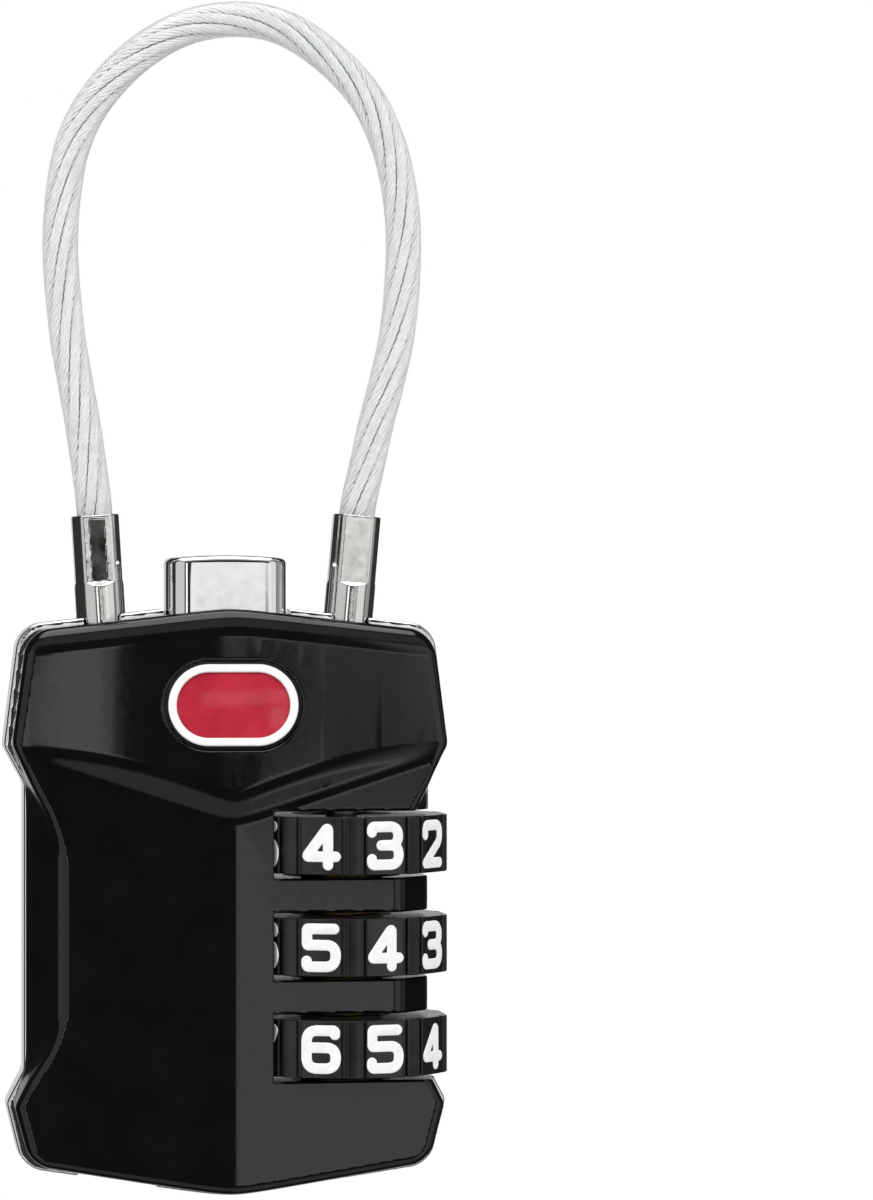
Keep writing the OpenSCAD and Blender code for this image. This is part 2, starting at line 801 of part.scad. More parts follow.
module dial(i) color(black) translate([dial_x, 0, dial_z[i]]) difference() {
    rotate_extrude() polygon([
        [dial_bore_d / 2, -dial_t / 2], [dial_d / 2 - dial_edge, -dial_t / 2],
        [dial_d / 2, -dial_t / 2 + dial_edge], [dial_d / 2, dial_t / 2 - dial_edge],
        [dial_d / 2 - dial_edge, dial_t / 2], [dial_bore_d / 2, dial_t / 2]
    ]);
    for (k = [0 : pads - 1]) rotate([0, 0, 360 * k / pads])
        block([pad_flat, -pad_w, -dial_t], [pad_flat + cut, pad_w, dial_t]);
}

// The sleeve in a dial: its neck runs down through a bushing and ends in a gate with two slots
module code_sleeve(i) color(brass) translate([dial_x, 0, 0]) {
    neck_low = gate_z[i];
    difference() {
        union() {
            rod(sleeve_r, dial_z[i] - dial_t / 2, dial_z[i] + dial_t / 2);
            rod(neck_r, neck_low, dial_z[i]);
        }
        rod(sleeve_bore_r, neck_low + gate_t, dial_z[i] + dial_t);
        rod(spindle_r + free_gap, neck_low - cut, neck_low + dial_t);
        block([-sleeve_bore_r, -gate_w / 2, neck_low - cut], [sleeve_bore_r, gate_w / 2, neck_low + gate_t + cut]);
    }
}

// ---- Key lock ----

module lock_barrel() color(brass) translate([-key_x, 0, 0])
    ring(barrel_d / 2, plug_d / 2 + run_gap, barrel_low, barrel_top);

module at_wafers() {
    for (i = [0 : wafers - 1]) translate([0, 0, wafer_low + wafer_pitch * i]) children();
}

module key_plug() color(brass) translate([-key_x, 0, 0]) difference() {
    union() {
        rod(plug_d / 2, barrel_low + plug_sink, barrel_top + lap);
        rod(plug_d / 2 - neck_in, barrel_top, neck_top + lap);
        rod(plug_d / 2, neck_top, plug_top);
        rod(cam_peg_r, plug_top - lap, plug_top + cam_t);
    }
    block([-keyway_w / 2, -keyway_deep / 2, 0], [keyway_w / 2, keyway_deep / 2, keyway_top]);
    at_wafers() block([-plug_d, -wafer_deep / 2 - run_gap, -run_gap], [plug_d, wafer_deep / 2 + run_gap, wafer_t + run_gap]);
}

module key_wafers() color(steel) translate([-key_x, 0, 0]) at_wafers() difference() {
    intersection() {
        rod(plug_d / 2 - run_gap, 0, wafer_t);
        block([-plug_d, -wafer_deep / 2, -cut], [plug_d, wafer_deep / 2, cut]);
    }
    block([-keyway_w / 2, -keyway_deep / 2, -cut], [keyway_w / 2, keyway_deep / 2, cut]);
}

module plug_retainer() color(steel) translate([-key_x, 0, 0]) difference() {
    ring(plug_d / 2 + retainer_out, plug_d / 2 - neck_in + 2 * press_gap, retainer_low, retainer_low + retainer_t);
    block([-retainer_slot / 2, 0, barrel_top - cut], [retainer_slot / 2, plug_d, barrel_top + cut]);
}

module key_cam() color(steel) translate([-key_x, 0, 0]) difference() {
    union() {
        rod(plug_d / 2, plug_top, plug_top + cam_t);
        block([-cam_w / 2, 0, plug_top], [cam_w / 2, cam_reach, plug_top + cam_t]);
    }
    rod(cam_peg_r + press_gap, plug_top - cut, plug_top + cam_t + cut);
}

front_cover();
middle_frame();
back_cover();
badge_rim();
badge_inlay();
index_marks();
cover_screws();
chassis();
detent_spring();
dial_bushings();
captive_ferrule();
captive_collar();
wire_rope();
cable_jacket();
latch_blade();
ejector_spring();
button_spring();
lock_barrel();
push_button();
button_slide();
lock_spindle();
dial(0);  // dial_1
dial(1);  // dial_2
dial(2);  // dial_3
code_sleeve(0);  // code_sleeve_1
code_sleeve(1);  // code_sleeve_2
code_sleeve(2);  // code_sleeve_3
key_plug();
key_wafers();
key_cam();
plug_retainer();
free_ferrule();
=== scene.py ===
import json
import math

import bmesh
import bpy
import numpy as np
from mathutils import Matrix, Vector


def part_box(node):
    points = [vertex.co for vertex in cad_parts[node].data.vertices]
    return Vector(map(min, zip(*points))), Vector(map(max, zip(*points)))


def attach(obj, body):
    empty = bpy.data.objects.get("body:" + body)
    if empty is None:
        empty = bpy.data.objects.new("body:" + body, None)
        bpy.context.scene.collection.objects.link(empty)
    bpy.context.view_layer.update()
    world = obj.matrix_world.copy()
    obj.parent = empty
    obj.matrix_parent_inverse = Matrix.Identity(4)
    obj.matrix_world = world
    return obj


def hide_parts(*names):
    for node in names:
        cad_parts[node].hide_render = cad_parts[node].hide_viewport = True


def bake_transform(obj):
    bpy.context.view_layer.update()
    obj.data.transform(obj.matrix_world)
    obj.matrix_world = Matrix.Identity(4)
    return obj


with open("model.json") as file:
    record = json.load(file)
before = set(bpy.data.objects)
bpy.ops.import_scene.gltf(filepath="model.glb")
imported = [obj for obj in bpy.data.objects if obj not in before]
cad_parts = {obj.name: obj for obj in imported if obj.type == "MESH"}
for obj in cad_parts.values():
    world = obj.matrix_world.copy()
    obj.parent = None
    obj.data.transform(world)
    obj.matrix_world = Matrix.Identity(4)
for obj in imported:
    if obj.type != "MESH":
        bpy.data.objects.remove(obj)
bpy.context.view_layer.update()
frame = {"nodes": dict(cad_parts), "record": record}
mm = 0.001

# Camera

cameraSet = {
    "azimuth": -5.75,  # degrees, to the left of the front
    "distance": 0.433,
    "height": 0.0455,
    "shownHeight": 0.08736,  # what the picture's height covers at the lock
    "shiftX": 0.1765,
    "shiftY": -0.025,
    "sensor": 36,
}


def addCamera(values):
    data = bpy.data.cameras.new("camera")
    data.sensor_width = values["sensor"]
    data.lens = values["sensor"] * values["distance"] / values["shownHeight"]
    data.shift_x = values["shiftX"]
    data.shift_y = values["shiftY"]
    data.clip_start = 0.01
    camera = bpy.data.objects.new("camera", data)
    turn = math.radians(values["azimuth"])
    camera.location = (
        values["distance"] * math.sin(turn),
        -values["distance"] * math.cos(turn),
        values["height"],
    )
    camera.rotation_euler = (math.radians(90), 0, turn)
    bpy.context.scene.collection.objects.link(camera)
    bpy.context.scene.camera = camera


addCamera(cameraSet)

# Materials


def newMaterial(name, colour, roughness, metallic=0.0, **sockets):
    material = bpy.data.materials.new(name)
    material.use_nodes = True
    shader = material.node_tree.nodes["Principled BSDF"]
    shader.inputs["Base Color"].default_value = (*colour, 1)
    shader.inputs["Roughness"].default_value = roughness
    shader.inputs["Metallic"].default_value = metallic
    for socket, value in sockets.items():
        shader.inputs[socket.replace("_", " ")].default_value = value
    return material


def noiseOf(material, size, detail=3.0, stretch=(1, 1, 1)):
    # Noise with features of this size in millimetres, on the piece's own coordinates
    nodes, links = material.node_tree.nodes, material.node_tree.links
    place = nodes.new("ShaderNodeTexCoord")
    mapping = nodes.new("ShaderNodeMapping")
    mapping.inputs["Scale"].default_value = stretch
    noise = nodes.new("ShaderNodeTexNoise")
    noise.inputs["Scale"].default_value = 1 / (size * mm)
    noise.inputs["Detail"].default_value = detail
    links.new(place.outputs["Object"], mapping.inputs["Vector"])
    links.new(mapping.outputs["Vector"], noise.inputs["Vector"])
    return noise.outputs["Fac"]


def ranged(material, factor, low, high):
    nodes, links = material.node_tree.nodes, material.node_tree.links
    spread = nodes.new("ShaderNodeMapRange")
    spread.inputs["From Min"].default_value = 0.3
    spread.inputs["From Max"].default_value = 0.7
    spread.inputs["To Min"].default_value = low
    spread.inputs["To Max"].default_value = high
    links.new(factor, spread.inputs["Value"])
    return spread.outputs["Result"]


def addRoughness(material, size, low, high, stretch=(1, 1, 1)):
    shader = material.node_tree.nodes["Principled BSDF"]
    value = ranged(material, noiseOf(material, size, 4.0, stretch), low, high)
    material.node_tree.links.new(value, shader.inputs["Roughness"])


def addBump(material, size, depth, stretch=(1, 1, 1), detail=2.0):
    # Depth in millimetres
    nodes, links = material.node_tree.nodes, material.node_tree.links
    shader = nodes["Principled BSDF"]
    bump = nodes.new("ShaderNodeBump")
    bump.inputs["Strength"].default_value = 1.0
    bump.inputs["Distance"].default_value = depth * mm
    links.new(noiseOf(material, size, detail, stretch), bump.inputs["Height"])
    links.new(bump.outputs["Normal"], shader.inputs["Normal"])


def addColours(material, size, first, second, stretch=(1, 1, 1)):
    nodes, links = material.node_tree.nodes, material.node_tree.links
    ramp = nodes.new("ShaderNodeValToRGB")
    ramp.color_ramp.elements[0].position = 0.35
    ramp.color_ramp.elements[0].color = (*first, 1)
    ramp.color_ramp.elements[1].position = 0.65
    ramp.color_ramp.elements[1].color = (*second, 1)
    links.new(noiseOf(material, size, 3.0, stretch), ramp.inputs["Fac"])
    links.new(ramp.outputs["Color"], nodes["Principled BSDF"].inputs["Base Color"])


def makeLacquer():
    material = newMaterial("blackLacquer", (0.0035, 0.0035, 0.004), 0.1)
    addColours(material, 3.0, (0.0028, 0.0028, 0.0032), (0.0042, 0.0042, 0.0047))
    addRoughness(material, 0.5, 0.07, 0.11)
    addBump(material, 0.9, 0.0006)
    return material


def makeChrome(name, roughness, tint=(0.86, 0.86, 0.87)):
    material = newMaterial(name, tint, roughness, 1.0)
    addRoughness(material, 0.8, roughness * 0.7, roughness * 1.4)
    addBump(material, 1.6, 0.0016)
    return material


def makeDialBlack():
    material = newMaterial("dialBlack", (0.009, 0.009, 0.01), 0.22)
    addColours(material, 1.2, (0.007, 0.007, 0.0075), (0.012, 0.012, 0.013))
    addRoughness(material, 0.35, 0.17, 0.27)
    addBump(material, 0.25, 0.0012)
    return material


def makePaint(name, colour, roughness):
    material = newMaterial(name, colour, roughness)
    shade = tuple(0.93 * value for value in colour)
    addColours(material, 0.5, shade, colour)
    addRoughness(material, 0.3, roughness * 0.85, roughness * 1.2)
    return material


def makeMetal(name, light, dark, roughness, grain=(1, 1, 0.12)):
    material = newMaterial(name, light, roughness, 1.0)
    addColours(material, 1.5, dark, light)
    addRoughness(material, 0.4, roughness * 0.7, roughness * 1.3, grain)
    addBump(material, 0.2, 0.002, grain)
    return material


def makeWire():
    material = newMaterial("ropeWire", (0.95, 0.95, 0.95), 0.4)
    addColours(material, 0.6, (0.88, 0.88, 0.88), (0.97, 0.97, 0.97))
    addRoughness(material, 0.3, 0.35, 0.5)
    return material


def makeEnamel():
    material = newMaterial("redEnamel", (0.45, 0.02, 0.04), 0.12)
    addColours(material, 3.0, (0.4, 0.017, 0.034), (0.52, 0.03, 0.055))
    addRoughness(material, 0.5, 0.08, 0.16)
    addBump(material, 0.7, 0.002)
    return material


def makeJacket():
    material = newMaterial("clearJacket", (0.97, 0.98, 0.985), 0.04, IOR=1.45)
    material.node_tree.nodes["Principled BSDF"].inputs["Transmission Weight"].default_value = 1.0
    addRoughness(material, 1.2, 0.02, 0.07)
    return material


finishes = {
    "black_shell": makeLacquer(),
    "chrome_frame": makeChrome("polishedChrome", 0.07),
    "button_chrome": makeChrome("buttonChrome", 0.06, (0.88, 0.88, 0.89)),
    "ferrule_plated": makeChrome("ferrulePlating", 0.11, (0.84, 0.83, 0.81)),
    "badge_silver": makePaint("badgeSilver", (0.93, 0.92, 0.91), 0.3),
    "red_enamel": makeEnamel(),
    "index_red": makePaint("indexRed", (0.5, 0.012, 0.02), 0.35),
    "black_screw": makeMetal("blackenedSteel", (0.05, 0.05, 0.055), (0.03, 0.03, 0.033), 0.35),
    "zinc_inner": makeMetal(
        "zincCasting", (0.55, 0.55, 0.56), (0.45, 0.45, 0.47), 0.42, (1, 1, 1)
    ),
    "spring_steel": makeMetal("springSteel", (0.62, 0.62, 0.63), (0.5, 0.5, 0.52), 0.25),
    "brass_inner": makeMetal("darkBrass", (0.2, 0.14, 0.06), (0.12, 0.085, 0.04), 0.4),
    "barrel_brass": makeMetal("barrelBrass", (0.78, 0.55, 0.24), (0.66, 0.45, 0.18), 0.2),
    "steel_rope": makeWire(),
    "clear_jacket": makeJacket(),
    "dial_black": makeDialBlack(),
    "bushing_black": makePaint("bushingBlack", (0.012, 0.012, 0.013), 0.5),
}
# Darker plating for the dent's floor on the captive ferrule
darkDentPlating = makeMetal("darkDentPlating", (0.3, 0.29, 0.28), (0.05, 0.05, 0.05), 0.3, (1, 1, 0.4))
digitWhite = makePaint("digitWhite", (0.9, 0.9, 0.9), 0.4)
ropePaintedShade = makePaint("ropePaintedShade", (0.2, 0.2, 0.205), 0.6)  # dark core: painted shade in the gaps between the wires

for entry in frame["record"]["subparts"]:
    slots = frame["nodes"][entry["node"]].data.materials
    slots.clear()
    slots.append(finishes[entry["material_slot"]])
print("materials made")

# Meshes


def addPiece(name, mesh, slot, body, *replaced):
    piece = bpy.data.objects.new(name, mesh)
    bpy.context.scene.collection.objects.link(piece)
    if not mesh.materials:
        mesh.materials.append(finishes[slot])
    if body:
        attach(piece, body)
    if replaced:
        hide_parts(*replaced)
    return piece


def boxOf(node):
    low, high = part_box(node)
    return np.array(low) / mm, np.array(high) / mm


# Distances below are in millimetres, below zero inside the piece


def both(a, b, r=0.0):
    # What a and b share, with its edge rounded by r
    if r == 0:
        return np.maximum(a, b)
    return np.minimum(np.maximum(a, b), -r) + np.hypot(np.maximum(a + r, 0), np.maximum(b + r, 0))


def either(a, b, r=0.0):
    # a and b together, with their inner corner filled by r
    if r == 0:
        return np.minimum(a, b)
    return np.maximum(np.minimum(a, b), r) - np.hypot(np.maximum(r - a, 0), np.maximum(r - b, 0))


def without(a, b, r=0.0):
    return both(a, -b, r)


def span(value, low, high):
    return np.abs(value - (low + high) / 2) - (high - low) / 2


def box(x, y, z, low, high, r=0.0):
    flat = both(span(x, low[0], high[0]), span(y, low[1], high[1]), r)
    return both(flat, span(z, low[2], high[2]), r)


def rod(x, y, z, r, low, high, edge=0.0):
    return both(np.hypot(x, y) - r, span(z, low, high), edge)


def stadium(x, z, width, height):
    reach = np.maximum(np.abs(x) - (width - height) / 2, 0)
    return np.hypot(reach, z) - height / 2


def edgeLine(x, z, start, end):
    # Positive to the left of the way from start to end
    dx, dz = end[0] - start[0], end[1] - start[1]
    return (dx * (z - start[1]) - dz * (x - start[0])) / math.hypot(dx, dz)


def plane(first, second, third, outward):
    first = np.array(first, float)
    normal = np.cross(np.array(second) - first, np.array(third) - first)
    normal = normal / np.linalg.norm(normal)
    if normal @ np.array(outward) < 0:
        normal = -normal
    return lambda x, y, z: (
        normal[0] * (x - first[0]) + normal[1] * (y - first[1]) + normal[2] * (z - first[2])
    )


def slopeOf(shape, points, reach):
    # The direction in which the distance grows at each point
    slopes = np.empty_like(points)
    for k in range(3):
        step = np.zeros(3)
        step[k] = reach
        ahead, behind = (points + step).T, (points - step).T
        slopes[:, k] = (shape(*ahead) - shape(*behind)) / (2 * reach)
    return slopes


def crossingQuads(value, axis):
    # The grid's edges along one axis that cross the surface: where, and the four cells round each
    low = [slice(None)] * 3
    high = [slice(None)] * 3
    low[axis], high[axis] = slice(None, -1), slice(1, None)
    a, b = value[tuple(low)], value[tuple(high)]
    edges = np.argwhere((a < 0) != (b < 0))
    start, end = a[tuple(edges.T)], b[tuple(edges.T)]
    places = edges.astype(float)
    places[:, axis] += start / (start - end)
    strides = np.array([value.shape[1] * value.shape[2], value.shape[2], 1])
    one, other = (axis + 1) % 3, (axis + 2) % 3
    ringIds = []
    for back in ((0, 0), (1, 0), (1, 1), (0, 1)):
        cell = edges.copy()
        cell[:, one] -= back[0]
        cell[:, other] -= back[1]
        ringIds.append(cell @ strides)
    quads = np.stack(ringIds, 1)
    quads[start >= 0] = quads[start >= 0][:, ::-1]
    return places, quads


def shapeMesh(name, shape, low, high, step):
    # A mesh of the surface where shape is zero, fine where it bends and coarse where it is flat
    axes = [np.arange(low[k] - 1.5 * step, high[k] + 2.5 * step, step) for k in range(3)]
    value = np.ascontiguousarray(shape(*np.meshgrid(*axes, indexing="ij", sparse=True)))
    found = [crossingQuads(value, axis) for axis in range(3)]
    places = np.concatenate([p for p, _ in found])
    quads = np.concatenate([q for _, q in found])
    ids, index = np.unique(quads, return_inverse=True)
    index = index.reshape(quads.shape)
    shared = np.bincount(index.ravel())
    origin = np.array([axis[0] for axis in axes])
    points = np.empty((len(ids), 3))
    for k in range(3):
        total = np.bincount(index.ravel(), weights=np.repeat(places[:, k], 4))
        points[:, k] = origin[k] + step * total / shared
    for _ in range(3):
        slopes = slopeOf(shape, points, step / 20)
        pull = shape(*points.T) / np.maximum((slopes**2).sum(1), 0.05)
        points -= slopes * np.clip(pull, -step / 3, step / 3)[:, None]
    mesh = bpy.data.meshes.new(name)
    mesh.from_pydata((points * mm).tolist(), [], index.tolist())
    work = bmesh.new()
    work.from_mesh(mesh)
    flatEnough = math.radians(0.4)
    bmesh.ops.dissolve_limit(work, angle_limit=flatEnough, verts=work.verts, edges=work.edges)
    bmesh.ops.triangulate(work, faces=[f for f in work.faces if len(f.verts) > 4])
    work.to_mesh(mesh)
    work.free()
    spots = np.empty(len(mesh.vertices) * 3, np.float32)
    mesh.vertices.foreach_get("co", spots)
    slopes = slopeOf(shape, spots.reshape(-1, 3) / mm, step / 4)
    slopes /= np.maximum(np.linalg.norm(slopes, axis=1), 1e-6)[:, None]
    mesh.shade_smooth()
    mesh.normals_split_custom_set_from_vertices(slopes.tolist())
    print(name, len(mesh.vertices), "points")
    return mesh


# Cable

cableSet = {
    "jacketRadius": 1.3,
    "jacketSides": 32,
    "smooth": 12,  # places between two route points
    "strands": 6,
    "wires": 6,
    "coreRadius": 0.64,
    "strandPath": 0.66,  # from the rope's middle to a strand's
    "wirePath": 0.225,  # from a strand's middle to a wire's
    "wireRadius": 0.109,
    "ropeLay": 24.0,
    "strandLay": 4.2,
    "wirePlaces": 230,
}

# The cable's middle line in metres, X and Z, from the captive ferrule round to the free one
cableRoute = [
    (-0.00915, 0.0438), (-0.0095, 0.0496), (-0.0098, 0.0522), (-0.0104, 0.0563),
    (-0.0111, 0.0602), (-0.0116, 0.0635), (-0.0120, 0.0688), (-0.0117, 0.0734),
    (-0.0109, 0.0769), (-0.0092, 0.0800), (-0.0064, 0.0829), (-0.0030, 0.0849),
    (0.0008, 0.0856), (0.0043, 0.0850), (0.0075, 0.0830), (0.0102, 0.0802),
    (0.0118, 0.0771), (0.0127, 0.0738), (0.0131, 0.0702), (0.0130, 0.0662),
    (0.0126, 0.0625), (0.0119, 0.0593), (0.0111, 0.0562), (0.0104, 0.0530),
    (0.0097, 0.0496), (0.0092, 0.0438),
]


def smoothLine(points, places):
    # A smooth curve through the points
    points = np.array(points, float)
    ends = np.vstack([2 * points[0] - points[1], points, 2 * points[-1] - points[-2]])
    line = []
    for i in range(1, len(ends) - 2):
        a, b, c, d = ends[i - 1 : i + 3]
        for t in np.arange(places) / places:
            line.append(
                b
                + t * (c - a) / 2
                + t**2 * (a - 2.5 * b + 2 * c - d / 2)
                + t**3 * (1.5 * b - a / 2 - 1.5 * c + d / 2)
            )
    return np.array([*line, points[-1]])


def ringsAlong(line, radius, sides):
    # Rings of points round a line that lies in X and Z
    ahead = np.gradient(line, axis=0)
    ahead /= np.linalg.norm(ahead, axis=1)[:, None]
    across = np.array([0.0, 1.0, 0.0])
    side = np.cross(ahead, across)
    turns = 2 * math.pi * np.arange(sides) / sides
    return (
        line[:, None]
        + radius * np.cos(turns)[None, :, None] * side[:, None]
        + radius * np.sin(turns)[None, :, None] * across
    ).reshape(-1, 3)


def rodMesh(name, line, radius, sides):
    # A round rod along the line, closed at both ends
    last = (len(line) - 1) * sides
    faces = []
    for i in range(len(line) - 1):
        for k in range(sides):
            a, b = i * sides + k, i * sides + (k + 1) % sides
            faces.append((a, b, b + sides, a + sides))
    faces.append(tuple(range(sides))[::-1])
    faces.append(tuple(last + k for k in range(sides)))
    mesh = bpy.data.meshes.new(name)
    mesh.from_pydata(ringsAlong(line, radius, sides).tolist(), [], faces)
    mesh.shade_smooth()
    work = bmesh.new()
    work.from_mesh(mesh)
    bmesh.ops.recalc_face_normals(work, faces=work.faces)
    work.to_mesh(mesh)
    work.free()
    return mesh


def addSocket(tree, name, kind, value=None):
    socket = tree.interface.new_socket(name, in_out="INPUT", socket_type=kind)
    if value is not None:
        socket.default_value = value
    return socket.identifier


class Wiring:
    # Short ways to add nodes to a tree and join them
    def __init__(self, tree):
        self.tree = tree

    def add(self, kind, inputs=None, **settings):
        node = self.tree.nodes.new(kind)
        for name, value in settings.items():
            setattr(node, name, value)
        for key, value in (inputs or {}).items():
            socket = node.inputs[key]
            if isinstance(value, bpy.types.NodeSocket):
                self.tree.links.new(value, socket)
            else:
                socket.default_value = value
        return node

    def math(self, operation, a, b=0.0):
        return self.add("ShaderNodeMath", {0: a, 1: b}, operation=operation).outputs[0]

    def scaled(self, vector, factor):
        node = self.add("ShaderNodeVectorMath", {0: vector, "Scale": factor}, operation="SCALE")
        return node.outputs[0]

    def vector(self, operation, a, b):
        return self.add("ShaderNodeVectorMath", {0: a, 1: b}, operation=operation).outputs[0]


def ropeTree(values, wireMaterial, coreShadeMaterial):
    # Strands of twisted wires round a core, along the line that comes in
    tree = bpy.data.node_groups.new("twistedRope", "GeometryNodeTree")
    addSocket(tree, "Line", "NodeSocketGeometry")
    ids = {}
    for name in ("strandPath", "wirePath", "wireRadius", "coreRadius", "ropeLay", "strandLay"):
        ids[name] = addSocket(tree, name, "NodeSocketFloat", values[name] * mm)
    for name in ("strands", "wires", "wirePlaces"):
        ids[name] = addSocket(tree, name, "NodeSocketInt", values[name])
    tree.interface.new_socket("Rope", in_out="OUTPUT", socket_type="NodeSocketGeometry")
    w = Wiring(tree)
    given = w.add("NodeGroupInput").outputs
    curve = w.add("GeometryNodeMeshToCurve", {"Mesh": given["Line"]}).outputs["Curve"]
    even = w.add("GeometryNodeResampleCurve", {"Curve": curve, "Count": given["wirePlaces"]})
    total = w.math("MULTIPLY", given["strands"], given["wires"])
    copies = w.add(
        "GeometryNodeDuplicateElements",
        {"Geometry": even.outputs["Curve"], "Amount": total},
        domain="SPLINE",
    )
    number = copies.outputs["Duplicate Index"]
    keep = w.add(
        "GeometryNodeStoreNamedAttribute",
        {"Geometry": copies.outputs["Geometry"], "Name": "wireNumber", "Value": number},
        data_type="INT",
        domain="CURVE",
    ).outputs["Geometry"]
    read = w.add("GeometryNodeInputNamedAttribute", {"Name": "wireNumber"}, data_type="INT")
    number = read.outputs["Attribute"]
    along = w.add("GeometryNodeSplineParameter").outputs["Length"]
    normal = w.add("GeometryNodeInputNormal").outputs["Normal"]
    ahead = w.add("GeometryNodeInputTangent").outputs["Tangent"]
    across = w.vector("CROSS_PRODUCT", ahead, normal)
    strand = w.math("FLOOR", w.math("DIVIDE", number, given["wires"]))
    wire = w.math("MODULO", number, given["wires"])
    turn = 2 * math.pi
    strandTurn = w.math(
        "ADD",
        w.math("DIVIDE", along, given["ropeLay"]),
        w.math("DIVIDE", strand, given["strands"]),
    )
    strandTurn = w.math("MULTIPLY", strandTurn, turn)
    wireTurn = w.math(
        "ADD",
        w.math("DIVIDE", along, given["strandLay"]),
        w.math("DIVIDE", wire, given["wires"]),
    )
    wireTurn = w.math("MULTIPLY", wireTurn, turn)
    outward = w.vector(
        "ADD",
        w.scaled(normal, w.math("COSINE", strandTurn)),
        w.scaled(across, w.math("SINE", strandTurn)),
    )
    sideways = w.vector("CROSS_PRODUCT", ahead, outward)
    toWire = w.vector(
        "ADD",
        w.scaled(outward, w.math("COSINE", wireTurn)),
        w.scaled(sideways, w.math("SINE", wireTurn)),
    )
    move = w.vector(
        "ADD", w.scaled(outward, given["strandPath"]), w.scaled(toWire, given["wirePath"])
    )
    moved = w.add("GeometryNodeSetPosition", {"Geometry": keep, "Offset": move})
    parts = []
    # The core takes the dark material that paints the shade between the wires
    for line, radius, material in (
        (moved.outputs["Geometry"], given["wireRadius"], wireMaterial),
        (even.outputs["Curve"], given["coreRadius"], coreShadeMaterial),
    ):
        profile = w.add("GeometryNodeCurvePrimitiveCircle", {"Resolution": 6, "Radius": radius})
        tube = w.add(
            "GeometryNodeCurveToMesh",
            {"Curve": line, "Profile Curve": profile.outputs["Curve"], "Fill Caps": True},
        )
        paint = w.add(
            "GeometryNodeSetMaterial", {"Geometry": tube.outputs["Mesh"], "Material": material}
        )
        parts.append(paint.outputs["Geometry"])
    joined = w.add("GeometryNodeJoinGeometry")
    for part in parts:
        tree.links.new(part, joined.inputs["Geometry"])
    smooth = w.add("GeometryNodeSetShadeSmooth", {"Geometry": joined.outputs["Geometry"]})
    real = w.add("GeometryNodeRealizeInstances", {"Geometry": smooth.outputs["Geometry"]})
    w.add("NodeGroupOutput", {0: real.outputs["Geometry"]})
    return tree, ids


def bakeTree(name, startMesh, tree, inputs):
    # The tree's result on this mesh, as a plain mesh
    holder = bpy.data.objects.new(name + "Start", startMesh)
    bpy.context.scene.collection.objects.link(holder)
    modifier = holder.modifiers.new("shape", "NODES")
    modifier.node_group = tree
    for identifier, value in inputs.items():
        modifier[identifier] = value
    graph = bpy.context.evaluated_depsgraph_get()
    mesh = bpy.data.meshes.new_from_object(holder.evaluated_get(graph))
    mesh.name = name
    holder.modifiers.clear()
    bpy.data.objects.remove(holder)
    return mesh


def addCable(values):
    line = smoothLine([(x, 0.0, z) for x, z in cableRoute], values["smooth"])
    rod = rodMesh("cableJacketRod", line, values["jacketRadius"] * mm, values["jacketSides"])
    jacket = addPiece("cableJacket", rod, "clear_jacket", None, "cable_jacket")
    path = bpy.data.meshes.new("ropeLine")
    path.from_pydata(line.tolist(), [(i, i + 1) for i in range(len(line) - 1)], [])
    tree, ids = ropeTree(values, finishes["steel_rope"], ropePaintedShade)
    sizes = {ids[name]: values[name] * mm for name in ids if isinstance(values[name], float)}
    counts = {ids[name]: values[name] for name in ids if isinstance(values[name], int)}
    strands = bakeTree("ropeStrands", path, tree, {**sizes, **counts})
    rope = addPiece("wireRope", strands, "steel_rope", None, "wire_rope")
    for piece in (jacket, rope):
        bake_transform(piece)


addCable(cableSet)

# Case

frameLow, frameHigh = boxOf("middle_frame")
dialLow, dialHigh = boxOf("dial_2")
dialMiddle = (dialLow + dialHigh) / 2
dialSize = dialHigh - dialLow
dialPitch = boxOf("dial_1")[0][2] - dialLow[2]
windowHalf = dialSize[2] / 2 + 0.33

bodySet = {
    "halfWidth": 16.2,
    "height": boxOf("front_cover")[1][2] + 0.4,
    "topSlope": 6.5,
    "bottomSlope": 8.8,
    "margin": 0.4,  # how far the frame stands out round the covers
    "jointY": 1.6,  # the frame's faces
    "ridgeY": 6.0,
    "edgeY": 4.7,
    "panelRise": 0.7,
    "panelLift": 0.037,  # slope of the curved upper panel beside its ridge
    "backY": 5.4,
    "ridgeSoft": 0.25,
    "panelSoft": 1.6,
    "bevelHeight": 1.5,
    "tipSoft": 1.3,  # rounding of the outline's top and bottom points
    "edgeRound": 0.7,
    "jointEdge": 0.08,
    "scoopEdge": 0.45,
    "scoopFront": (3.8, 4.9),  # its floor's front edge, in from the side and in Y
    "scoopBack": (1.5, 1.9),
    "scoopLow": 12.0,
    "scoopUnder": 16.9,  # from the body's top down to its upper end
    "ribLeft": 8.15,  # from the dials' axis to the left side of the ribs between them
    "pocket": 7.93,  # radius round a dial
    "pocketEdge": 0.14,
    "badgeRecess": (10.0, 6.5, 6.0, 0.18),  # width, height, where its floor is, edge
    "screwHole": (0.8, 1.35, 1.0),  # its radius, its head's, and how deep the head sits
    "frameEdge": 0.22,
    "frontReach": -7.0,
    "step": 0.17,
}

